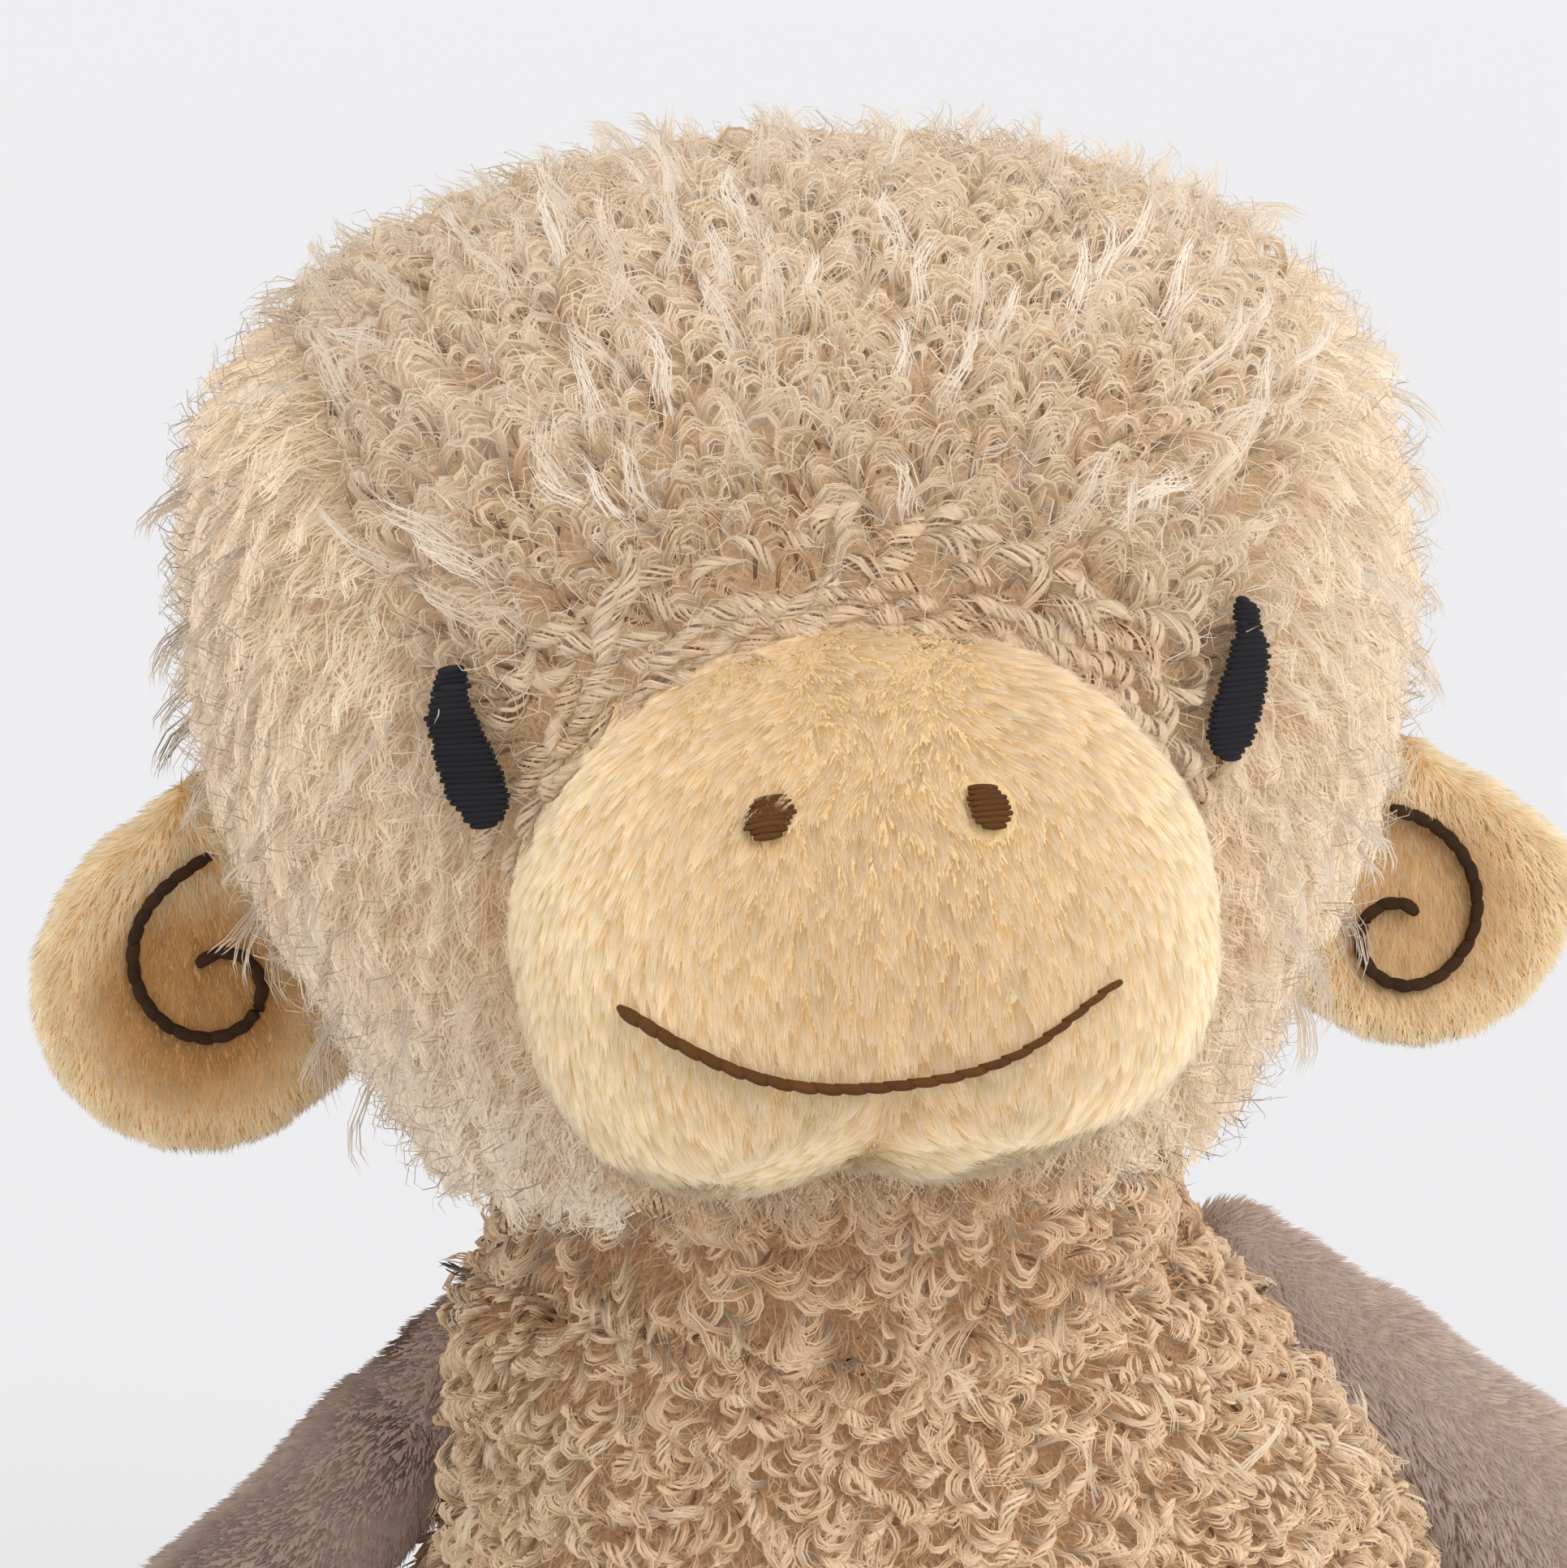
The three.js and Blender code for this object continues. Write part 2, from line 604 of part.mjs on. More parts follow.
const EAR_PROFILE = new THREE.CatmullRomCurve3([
  new THREE.Vector3(0, -EAR_BACK_HALF, 0),
  new THREE.Vector3(0.42 * EAR_RADIUS, -EAR_BACK_HALF, 0),
  new THREE.Vector3(0.76 * EAR_RADIUS, -0.92 * EAR_BACK_HALF, 0),
  new THREE.Vector3(0.94 * EAR_RADIUS, -0.6 * EAR_BACK_HALF, 0),
  new THREE.Vector3(EAR_RADIUS, 0, 0),
  new THREE.Vector3(0.93 * EAR_RADIUS, 0.7 * EAR_RIM_HALF, 0),
  new THREE.Vector3(0.8 * EAR_RADIUS, EAR_RIM_HALF, 0),
  new THREE.Vector3(0.64 * EAR_RADIUS, 0.8 * EAR_RIM_HALF, 0),
  new THREE.Vector3(0.45 * EAR_RADIUS, EAR_HOLLOW_HALF, 0),
  new THREE.Vector3(0, EAR_HOLLOW_HALF, 0),
]);
const EAR_ROWS = 9;
const EAR_RIM_SHARE = 4 / EAR_ROWS;

const earForm = {
  pointAt: (u, v) => {
    const { x: radius, y: forward } = EAR_PROFILE.getPoint(v);
    const angle = 2 * Math.PI * u;
    const across = EAR_CENTRE_OUT + radius * Math.cos(angle);
    return new THREE.Vector3(across, -forward, radius * Math.sin(angle));
  },
  columns: 16,
  rows: EAR_ROWS,
  lining: { columns: 12, rows: EAR_ROWS },
};

// The straight root edge of the ear is rolled round its hinge line
function earRootLimit(radius) {
  const roll = new THREE.CylinderGeometry(radius, radius, 4 * EAR_RADIUS, 12);
  roll.rotateX(Math.PI / 2);
  return halfSpace(SIDEWAYS, new THREE.Vector3()).add(solidFrom(roll));
}

function earSpiral(side) {
  const points = [];
  for (let i = 0; i <= SPIRAL_STEPS; i += 1) {
    const share = i / SPIRAL_STEPS;
    const angle = radians(SPIRAL_START_DEGREES - SPIRAL_SWEEP_DEGREES * share);
    const radius = SPIRAL_INNER + (SPIRAL_OUTER - SPIRAL_INNER) * (1 - share) ** SPIRAL_EASE;
    const across = radius * Math.cos(angle) - SPIRAL_INSETS[side];
    const rise = radius * Math.sin(angle) - SPIRAL_DROPS[side];
    const away = Math.hypot(across, rise);
    const v = bisect((place) => -EAR_PROFILE.getPoint(place).x, -away, EAR_RIM_SHARE, 1);
    const forward = EAR_PROFILE.getPoint(v).y + THREAD_RADIUS + SEAM_GAP;
    points.push(new THREE.Vector3(EAR_CENTRE_OUT + across, -forward, rise));
  }
  return threadSolid(points);
}

const earPlace = standingPlace(headForm, NECK_HEIGHT + EAR_RISE, 'y', EAR_SETBACK, -0.25, 0.25);
const earOutward = normalAt(headForm, ...earPlace);
const earPivot = headForm.pointAt(...earPlace).addScaledVector(earOutward, EAR_ROOT_RADIUS + SEAM_GAP);
const earBack = new THREE.Vector3().crossVectors(UP, earOutward).normalize();
const earUp = new THREE.Vector3().crossVectors(earOutward, earBack);

// A solid made in the ear's own frame, moved to its place on the left of the head
function sewnOnHead(solid) {
  const place = new THREE.Matrix4().makeBasis(earOutward, earBack, earUp).setPosition(earPivot);
  return solidFrom(geometryFrom(solid).applyMatrix4(place));
}

function earPieces() {
  const outer = formSolid(earForm).intersect(earRootLimit(EAR_ROOT_RADIUS));
  const inner = insideSolid(earForm, EAR_LINING).intersect(earRootLimit(EAR_ROOT_RADIUS - EAR_LINING));
  const lining = EAR_LINING + SEAM_GAP;
  const filling = insideSolid(earForm, lining).intersect(earRootLimit(EAR_ROOT_RADIUS - lining));
  const shell = outer.subtract(inner);
  const pieces = {
    ear_front: [shell.subtract(behind(-SEAM_GAP / 2)), materials.yellow],
    ear_back: [shell.intersect(behind(SEAM_GAP / 2)), materials.yellow],
    ear_filling: [filling, materials.stuffing],
  };
  Object.values(pieces).forEach((piece) => {
    piece[0] = sewnOnHead(piece[0]);
  });
  return pieces;
}

// The two spirals are sewn by hand and eye, each at a slightly different place on its ear
function addSpirals(groups) {
  const spirals = { left: sewnOnHead(earSpiral('left')), right: mirrored(sewnOnHead(earSpiral('right'))) };
  addPiece(groups.left, 'left_ear_spiral', spirals.left, materials.brown);
  addPiece(groups.right, 'right_ear_spiral', spirals.right, materials.brown);
}

// A limb and the hand or foot sewn over its end, with one stuffing through both
function limbPieces(limb, end, names) {
  const limbInner = insideSolid(limb, SHORT_PILE);
  const endInner = insideSolid(end, SHORT_PILE);
  const cover = formSolid(limb).subtract(limbInner).subtract(formSolid(end, SEAM_GAP));
  const endCover = formSolid(end).subtract(endInner).subtract(limbInner);
  const depth = SHORT_PILE + SEAM_GAP;
  const filling = insideSolid(limb, depth).add(insideSolid(end, depth));
  return {
    [names.cover]: [cover, materials.taupe],
    [names.end]: [endCover, materials.yellow],
    [names.filling]: [filling, materials.stuffing],
  };
}

// Stations of a limb that swells from its root to its full radius and narrows to its wrist
function swelling(length, rootRadius, fullRadius, endRadius) {
  const between = (share) => rootRadius + share * (fullRadius - rootRadius);
  return [
    [0.12 * length, between(0)],
    [0.24 * length, between(0.45)],
    [0.4 * length, between(0.95)],
    [0.6 * length, between(1)],
    [0.84 * length, endRadius],
    [length, endRadius],
  ];
}

function armPieces() {
  const turn = radians(ARM_FORWARD_DEGREES);
  const outward = new THREE.Vector3(Math.cos(turn), -Math.sin(turn), 0);
  const drop = shoulderPivot.z - HAND_LENGTH / 2 - FLOOR_CLEARANCE;
  const droop = Math.asin(drop / ARM_LENGTH);
  const along = outward.clone().multiplyScalar(Math.cos(droop)).addScaledVector(UP, -Math.sin(droop));
  const planeNormal = new THREE.Vector3().crossVectors(outward, UP);
  const bow = new THREE.Vector3().crossVectors(planeNormal, along).multiplyScalar(2 * ARM_BOW);
  const elbow = shoulderPivot.clone().addScaledVector(along, ARM_LENGTH / 2).add(bow);
  const handCentre = shoulderPivot.clone().addScaledVector(along, ARM_LENGTH);
  const spine = new THREE.QuadraticBezierCurve3(shoulderPivot, elbow, handCentre);
  const stations = swelling(spine.getLength(), SHOULDER_RADIUS, ARM_RADIUS, WRIST_RADIUS);
  const tipLength = LIMB_TIP_SHARE * HAND_LENGTH;
  const arm = limbForm({ spine, planeNormal, rootRadius: SHOULDER_RADIUS, stations, tipLength, ...LIMB_FACETS });
  const across = new THREE.Vector3().crossVectors(along, planeNormal);
  const place = new THREE.Matrix4().makeBasis(planeNormal, across, along).setPosition(handCentre);
  const hand = ellipsoidForm(new THREE.Vector3(HAND_WIDTH, HAND_WIDTH, HAND_LENGTH), place);
  return limbPieces(arm, hand, { cover: 'arm_cover', end: 'hand_cover', filling: 'arm_filling' });
}

// The sewn tab between torso and arm: a cap round the arm's root, on the torso's side of it
function shoulderTab() {
  const inner = SHOULDER_RADIUS + SEAM_GAP;
  const outer = inner + SHOULDER_TAB;
  const steps = [0, 1, 2].map((i) => radians(SHOULDER_TAB_DEGREES * i / 2));
  const outline = [
    ...steps.map((a) => new THREE.Vector2(outer * Math.sin(a), outer * Math.cos(a))),
    ...steps.toReversed().map((a) => new THREE.Vector2(inner * Math.sin(a), inner * Math.cos(a))),
  ];
  const geometry = new THREE.LatheGeometry(outline, 12);
  const inward = normalAt(torsoForm, ...shoulderPlace).setZ(0).normalize().negate();
  geometry.applyQuaternion(new THREE.Quaternion().setFromUnitVectors(new THREE.Vector3(0, 1, 0), inward));
  geometry.translate(shoulderPivot.x, shoulderPivot.y, shoulderPivot.z);
  return solidFrom(geometry);
}

function legPieces() {
  const turn = radians(LEG_SPLAY_DEGREES);
  const forward = new THREE.Vector3(Math.sin(turn), -Math.cos(turn), 0);
  const ankle = hipPivot.clone().addScaledVector(forward, LEG_LENGTH).setZ(LEG_RADIUS + FLOOR_CLEARANCE);
  const spine = new THREE.LineCurve3(hipPivot, ankle);
  const along = ankle.clone().sub(hipPivot).normalize();
  const planeNormal = new THREE.Vector3().crossVectors(along, UP).normalize();
  const stations = swelling(LEG_LENGTH, HIP_RADIUS, LEG_RADIUS, ANKLE_RADIUS);
  const tipLength = LIMB_TIP_SHARE * FOOT_DEPTH;
  const leg = limbForm({ spine, planeNormal, rootRadius: HIP_RADIUS, stations, tipLength, ...LIMB_FACETS });
  const across = new THREE.Vector3().crossVectors(forward, UP);
  const footCentre = ankle.clone().setZ(FOOT_HEIGHT / 2 + FLOOR_CLEARANCE);
  const place = new THREE.Matrix4().makeBasis(across, forward, UP).setPosition(footCentre);
  const foot = ellipsoidForm(new THREE.Vector3(FOOT_WIDTH, FOOT_DEPTH, FOOT_HEIGHT), place);
  return limbPieces(leg, foot, { cover: 'leg_cover', end: 'foot_cover', filling: 'leg_filling' });
}

// Tail: back along the floor, then up and over in a curl that tightens towards its tip
function buildTail(group) {
  const floorLevel = TAIL_RADIUS + FLOOR_CLEARANCE;
  const points = [
    tailPivot.clone(),
    tailPivot.clone().add(new THREE.Vector3(0, TAIL_REACH / 2, 0)).setZ(floorLevel),
  ];
  const curlCentre = new THREE.Vector3(0, tailPivot.y + TAIL_REACH, floorLevel + TAIL_CURL_RADIUS);
  for (let i = 0; i <= TAIL_CURL_STEPS; i += 1) {
    const turn = radians(TAIL_CURL_DEGREES * i / TAIL_CURL_STEPS);
    const radius = TAIL_CURL_RADIUS * (1 - TAIL_CURL_TIGHTENING * i / TAIL_CURL_STEPS);
    points.push(new THREE.Vector3(0, radius * Math.sin(turn), -radius * Math.cos(turn)).add(curlCentre));
  }
  const spine = new THREE.CatmullRomCurve3(points);
  const length = spine.getLength();
  const stations = [];
  for (let i = 1; i <= TAIL_RINGS; i += 1) {
    const share = i / TAIL_RINGS;
    stations.push([length * share, TAIL_RADIUS + share * (TAIL_TIP_RADIUS - TAIL_RADIUS)]);
  }
  const tipLength = TAIL_TIP_RADIUS;
  const rootRadius = TAIL_RADIUS;
  const tail = limbForm({ spine, planeNormal: SIDEWAYS, rootRadius, stations, tipLength, ...TAIL_FACETS });
  const hole = ballSolid(tail.pointAt(0, 0), TAIL_STUFFING_HOLE, 8);
  const cover = formSolid(tail).subtract(insideSolid(tail, SHORT_PILE)).subtract(hole);
  addPiece(group, 'tail_cover', cover, materials.taupe);
  const filling = insideSolid(tail, SHORT_PILE + SEAM_GAP).subtract(hole);
  addPiece(group, 'tail_filling', filling, materials.stuffing);
}

// Pieces made for the left side are mirrored for the right
function addPair(groups, pieces) {
  Object.entries(pieces).forEach(([name, [solid, material]]) => {
    addPiece(groups.left, `left_${name}`, solid, material);
    addPiece(groups.right, `right_${name}`, mirrored(solid), material);
  });
}

function bodyPair(parents, name, pivot) {
  return {
    left: bodyAt(parents.left, `left_${name}`, pivot),
    right: bodyAt(parents.right, `right_${name}`, mirroredPoint(pivot)),
  };
}

const toy = new THREE.Group();
toy.name = 'torso';
const neck = bodyAt(toy, 'neck', neckPivot);
const head = bodyAt(neck, 'head', neckPivot);
const ears = bodyPair({ left: head, right: head }, 'ear', earPivot);
const shoulders = bodyPair({ left: toy, right: toy }, 'shoulder', shoulderPivot);
const arms = bodyPair(shoulders, 'arm', shoulderPivot);
const legs = bodyPair({ left: toy, right: toy }, 'leg', hipPivot);
const tailBody = bodyAt(toy, 'tail', tailPivot);

buildTorso(toy);
buildNeck(neck);
buildHead(head);
buildFace(head);
addPair(ears, earPieces());
addSpirals(ears);
addPair(shoulders, { shoulder_tab: [shoulderTab(), materials.taupe] });
addPair(arms, armPieces());
addPair(legs, legPieces());
buildTail(tailBody);

export default toy;
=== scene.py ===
# %% [markdown]
# # A plush monkey
# The toy is sewn from three fabrics over soft stuffing: a long curly pile on head and torso, a short yellow
# plush on muzzle, ears, hands and feet, and a taupe plush on the limbs and tail. The solids of the frame
# give every size and joint. Here each one gets its cloth, its pile and its thread.

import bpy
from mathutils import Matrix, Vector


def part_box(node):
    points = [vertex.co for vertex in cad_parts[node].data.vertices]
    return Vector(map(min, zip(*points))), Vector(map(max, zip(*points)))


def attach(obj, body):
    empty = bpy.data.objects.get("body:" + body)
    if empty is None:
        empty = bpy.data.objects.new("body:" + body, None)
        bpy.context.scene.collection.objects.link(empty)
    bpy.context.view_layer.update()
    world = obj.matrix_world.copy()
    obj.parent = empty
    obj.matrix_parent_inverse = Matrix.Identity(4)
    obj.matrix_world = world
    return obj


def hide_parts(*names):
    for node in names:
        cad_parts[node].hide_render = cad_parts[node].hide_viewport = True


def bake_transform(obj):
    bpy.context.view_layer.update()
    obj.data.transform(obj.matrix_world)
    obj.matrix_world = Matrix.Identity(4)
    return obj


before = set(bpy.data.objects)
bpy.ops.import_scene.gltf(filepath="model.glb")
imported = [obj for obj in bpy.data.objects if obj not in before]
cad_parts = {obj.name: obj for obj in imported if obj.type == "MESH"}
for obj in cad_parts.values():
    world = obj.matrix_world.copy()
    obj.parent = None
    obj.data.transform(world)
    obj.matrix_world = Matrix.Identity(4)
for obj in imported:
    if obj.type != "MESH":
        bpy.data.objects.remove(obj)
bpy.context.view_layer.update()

# %% [markdown]
# Blender works in metres, while a toy is easier to describe in millimetres, so one factor stands between
# them. Fur needs many random numbers. Each piece has its own generator with a fixed seed, so that every run
# gives the same toy and a change to one piece leaves the others alone.

import bmesh
import bpy
import numpy as np
from mathutils import Matrix, Vector
from mathutils.bvhtree import BVHTree
from mathutils.kdtree import KDTree

MM = 0.001
X, Y, Z = 0, 1, 2
DOWN = np.array([0, 0, -1.0])


def chance(piece):
    """A random generator that gives this piece the same numbers in every run."""
    return np.random.default_rng([ord(letter) for letter in piece])


def unit(vectors):
    """The same directions, each one long."""
    return vectors / np.maximum(np.linalg.norm(vectors, axis=-1, keepdims=True), 1e-12)


def add_object(name, data):
    """An object for a mesh, a camera or a lamp, in the scene."""
    made = bpy.data.objects.new(name, data)
    bpy.context.scene.collection.objects.link(made)
    return made


def object_of(name, built):
    """An object for a mesh that was built face by face."""
    mesh = bpy.data.meshes.new(name)
    built.to_mesh(mesh)
    built.free()
    return add_object(name, mesh)


print("the first random number of the head:", round(chance("head").random(), 3))

# %% [markdown]
# The photograph was taken from slightly above the toy's eyes and a little to its right, with a long lens. A
# camera could be aimed by hand, but three angles, a target and a distance say the same in plain numbers.
# The small roll is the tilt of the toy's head in the picture.

# %% Camera
AZIMUTH, ELEVATION, ROLL = np.radians([-5.5, 12.0, 3.5])
TARGET = np.array([-2.4, 0.0, 151.0]) * MM
DISTANCE = 500 * MM
VIEW_WIDTH = 148.5 * MM
SENSOR = 36.0
NEAREST, FURTHEST = 0.01, 50

towards_camera = np.array([
    np.sin(AZIMUTH) * np.cos(ELEVATION),
    -np.cos(AZIMUTH) * np.cos(ELEVATION),
    np.sin(ELEVATION),
])
level = np.array([np.cos(AZIMUTH), np.sin(AZIMUTH), 0.0])
upright = np.cross(towards_camera, level)
camera_axes = np.stack([
    level * np.cos(ROLL) - upright * np.sin(ROLL),
    level * np.sin(ROLL) + upright * np.cos(ROLL),
    towards_camera,
], axis=1)

camera_data = bpy.data.cameras.new("camera")
camera_data.sensor_width = SENSOR
camera_data.lens = SENSOR * DISTANCE / VIEW_WIDTH
camera_data.clip_start, camera_data.clip_end = NEAREST, FURTHEST
camera = add_object("camera", camera_data)
camera.matrix_world = Matrix.Translation(TARGET + DISTANCE * towards_camera) @ Matrix(camera_axes).to_4x4()
bpy.context.scene.camera = camera
print("lens:", round(camera_data.lens, 1), "mm")

# %% [markdown]
# Shader maths is easier to read as an expression than as a row of nodes. A small class wraps a socket, and
# its operators add Math nodes. A second class is the material itself, with one method that adds any node.

# %% Shader helpers
class Value:
    """A socket of a material, with which shader maths can be written as an expression."""

    def __init__(self, finish, socket):
        self.finish = finish
        self.socket = socket

    def _math(self, operation, other):
        return self.finish.add("ShaderNodeMath", {"operation": operation}, {0: self, 1: other})

    def __add__(self, other):
        return self._math("ADD", other)

    def __mul__(self, other):
        return self._math("MULTIPLY", other)

    __radd__ = __add__
    __rmul__ = __mul__


class Finish:
    """A node material, built by adding nodes with their settings and socket values."""

    def __init__(self, name, tree=None):
        if tree is None:
            self.material = bpy.data.materials.new(name)
            self.material.use_nodes = True
            tree = self.material.node_tree
        self.tree = tree
        self.tree.nodes.clear()

    def add(self, kind, settings=None, sockets=None, output=0):
        node = self.tree.nodes.new(kind)
        for name, setting in (settings or {}).items():
            if name == "stops":
                self._set_stops(node.color_ramp, setting)
            else:
                setattr(node, name, setting)
        for name, value in (sockets or {}).items():
            if isinstance(value, Value):
                self.tree.links.new(value.socket, node.inputs[name])
            else:
                node.inputs[name].default_value = value
        return Value(self, node.outputs[output]) if len(node.outputs) else node

    def _set_stops(self, ramp, stops):
        while len(ramp.elements) < len(stops):
            ramp.elements.new(1.0)
        for element, (place, shade) in zip(ramp.elements, stops):
            element.position = place
            element.color = shade

    def mark(self, name):
        """The number that a mesh carries under this name."""
        return self.add("ShaderNodeAttribute", {"attribute_name": name}, output="Fac")

    def noise(self, scale, detail, place=None):
        """A random pattern, over an object's own places or over those given."""
        where = {} if place is None else {"Vector": place}
        return self.add("ShaderNodeTexNoise", sockets={**where, "Scale": scale, "Detail": detail})

    def between(self, value, low, high):
        """From 0 at a low value to 1 at a high one."""
        stops = [(low, (0, 0, 0, 1)), (high, (1, 1, 1, 1))]
        return self.add("ShaderNodeValToRGB", {"stops": stops}, {"Fac": value})

    def mix(self, share, first, second):
        """A share of the second colour in the first. The node's colours are its sockets 6 and 7."""
        return self.add("ShaderNodeMix", {"data_type": "RGBA"}, {0: share, 6: first, 7: second}, output=2)

    def surface(self, **sockets):
        named = {name.replace("_", " "): value for name, value in sockets.items()}
        shader = self.add("ShaderNodeBsdfPrincipled", sockets=named)
        self.add("ShaderNodeOutputMaterial", sockets={"Surface": shader})
        return self.material


def colour(red, green, blue):
    """A colour given as it looks on a screen, 0 to 255, in the linear values that shaders use."""
    screen = np.array([red, green, blue]) / 255
    linear = np.where(screen <= 0.04045, screen / 12.92, ((screen + 0.055) / 1.055) ** 2.4)
    return (*linear.tolist(), 1.0)


PAPER = colour(239, 239, 241)
print("white paper is", [round(part, 3) for part in PAPER[:3]])

# %% [markdown]
# The light is that of a plain white studio: even light from all round and one broad lamp at the upper
# right, which gives the soft shading of the picture. What the camera sees of the sky is white paper.

# %% Light
AROUND = 0.86
LAMP_STRENGTH = 1.3
LAMP_SPREAD = 50
LAMP_FROM = Vector((0.60, -0.75, 0.72))

world = bpy.data.worlds.new("studio")
world.use_nodes = True
sky = Finish("studio", world.node_tree)
seen, mirrored, through = (
    sky.add("ShaderNodeLightPath", output=f"Is {kind} Ray") for kind in ("Camera", "Glossy", "Transmission")
)
sky_colour = sky.mix(seen + mirrored + through, (AROUND, AROUND, AROUND, 1), PAPER)
backdrop = sky.add("ShaderNodeBackground", sockets={"Color": sky_colour, "Strength": 1.0})
sky.add("ShaderNodeOutputWorld", sockets={"Surface": backdrop})
bpy.context.scene.world = world

lamp_data = bpy.data.lights.new("broad_lamp", "SUN")
lamp_data.energy = LAMP_STRENGTH
lamp_data.angle = np.radians(LAMP_SPREAD)
lamp = add_object("broad_lamp", lamp_data)
lamp.rotation_euler = (-LAMP_FROM).to_track_quat("-Z", "Y").to_euler()
bpy.context.scene.view_settings.view_transform = "Standard"
print("studio: world", AROUND, "and lamp", LAMP_STRENGTH)

# %% [markdown]
# The toy sits on a sheet of paper that runs on to the horizon, so the sheet is the backdrop as well. It is
# one flat disc, much wider than the toy, with a grain so faint that it only keeps the floor from looking
# empty.

# %% Floor
FLOOR_RADIUS = 9.0

disc = bmesh.new()
bmesh.ops.create_circle(disc, cap_ends=True, segments=96, radius=FLOOR_RADIUS)
floor = object_of("floor", disc)
paper = Finish("paper")
paper_tint = paper.mix(paper.noise(3.0, 2.0), colour(226, 226, 228), colour(230, 230, 232))
floor.data.materials.append(paper.surface(Base_Color=paper_tint, Roughness=0.95))
print("floor:", FLOOR_RADIUS, "m in radius")

# %% [markdown]
# Under every pile lies the backing cloth. The solids of one stuffed form could be covered one by one, but
# their edges would show. So they are joined, remeshed into one even skin and drawn in by the depth of the
# pile.

# %% Skins
def apply_modifiers(piece):
    """The piece keeps what its modifiers make of it, and loses the modifiers."""
    graph = bpy.context.evaluated_depsgraph_get()
    made = bpy.data.meshes.new_from_object(piece.evaluated_get(graph))
    piece.modifiers.clear()
    piece.data = made
    made.name = piece.name


def even_out(piece, voxel, rounds):
    """Gives a piece even faces of about a size in millimetres, and smooths it in some rounds."""
    remesh = piece.modifiers.new("even", "REMESH")
    remesh.mode = "VOXEL"
    remesh.voxel_size = voxel * MM
    piece.modifiers.new("smooth", "SMOOTH").iterations = rounds
    apply_modifiers(piece)


def skin_arrays(skin):
    """The points, normals and triangles of a skin."""
    mesh = skin.data
    mesh.calc_loop_triangles()
    points, normals = np.empty((2, 3 * len(mesh.vertices)))
    mesh.vertices.foreach_get("co", points)
    mesh.vertices.foreach_get("normal", normals)
    corners = np.empty(3 * len(mesh.loop_triangles), int)
    mesh.loop_triangles.foreach_get("vertices", corners)
    return points.reshape(-1, 3), normals.reshape(-1, 3), corners.reshape(-1, 3)


def set_points(skin, points):
    skin.data.vertices.foreach_set("co", points.ravel())
    skin.data.update()


def skin_of(name, nodes, voxel, inset, rounds=6):
    """One closed skin round some solids, drawn in by an inset, all in millimetres."""
    joined = bmesh.new()
    for node in nodes:
        joined.from_mesh(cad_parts[node].data)
    skin = object_of(f"{name}_skin", joined)
    even_out(skin, voxel, rounds)
    points, normals, _ = skin_arrays(skin)
    set_points(skin, points - inset * MM * normals)
    return skin


SIDES = ("left", "right")
COARSE, MIDDLING, FINE, FINEST = 2.5, 2.0, 1.6, 1.2
CURL_DEPTH, PLUSH_DEPTH, ARM_DEPTH, SEAT_DEPTH, NECK_DEPTH = 3.4, 1.2, 0.8, 0.4, -4.5
HEAD_PANELS = ["head_left_panel", "head_right_panel", "head_crown_panel", "head_chin_panel"]
TORSO_PANELS = ["torso_front_panel", "torso_back_panel", "torso_seat_panel"]
skins = {
    "head": skin_of("head", HEAD_PANELS + ["head_filling"], COARSE, CURL_DEPTH),
    "torso": skin_of("torso", TORSO_PANELS + ["torso_filling", "seat_bean_bag"], COARSE, CURL_DEPTH),
    "seat": skin_of("seat", ["torso_seat_panel", "seat_bean_bag"], COARSE, SEAT_DEPTH),
    "muzzle": skin_of("muzzle", ["muzzle_cover", "head_filling"], MIDDLING, PLUSH_DEPTH),
    "neck": skin_of("neck", ["neck_filling"], COARSE, NECK_DEPTH),
    "tail": skin_of("tail", ["tail_cover", "tail_filling"], FINE, PLUSH_DEPTH),
}
for side in SIDES:
    ear, arm, leg = f"{side}_ear", f"{side}_arm", f"{side}_leg"
    ear_nodes = [f"{ear}_front", f"{ear}_back", f"{ear}_filling"]
    arm_nodes = [f"{arm}_cover", f"{side}_hand_cover", f"{arm}_filling"]
    leg_nodes = [f"{leg}_cover", f"{side}_foot_cover", f"{leg}_filling"]
    skins[ear] = skin_of(ear, ear_nodes, FINEST, PLUSH_DEPTH, rounds=3)
    skins[arm] = skin_of(arm, arm_nodes, MIDDLING, ARM_DEPTH, rounds=16)
    skins[leg] = skin_of(leg, leg_nodes, MIDDLING, PLUSH_DEPTH)
print("skins:", {name: len(skin.data.vertices) for name, skin in skins.items()})

# %% [markdown]
# The solids are symmetric, as the toy was cut and sewn, but a soft toy never sits quite straight. In the
# picture the belly leans over, one arm hangs closer and the dart of the chin is off the middle. The skins
# are moved by what the picture shows. Legs and tail are drawn into the torso's pile, so that no gap shows
# there.

# %% Sit askew
MIRROR = {"left": np.array([1, 1, 1]), "right": np.array([-1, 1, 1])}
ARMS_IN = {"left": 0.5, "right": 8.2}
LEAN_HEIGHTS, BELLY_LEAN = [15, 50, 70, 80, 89, 100], [0, 6.6, 6.6, 5.5, 3.6, 0]
LEG_ROOT, LEG_IN = [-60, -50], [0, 6]
TAIL_ROOT, TAIL_IN = [50, 58], [-6, 0]
DART_SHIFT, DART_REACH, DART_TOP, DART_FADE = -5.5, 30, 140, 15
MUZZLE_RISE, MUZZLE_TOP, RISE_FADE, MUZZLE_BACK = 2.5, 158, 13, -40


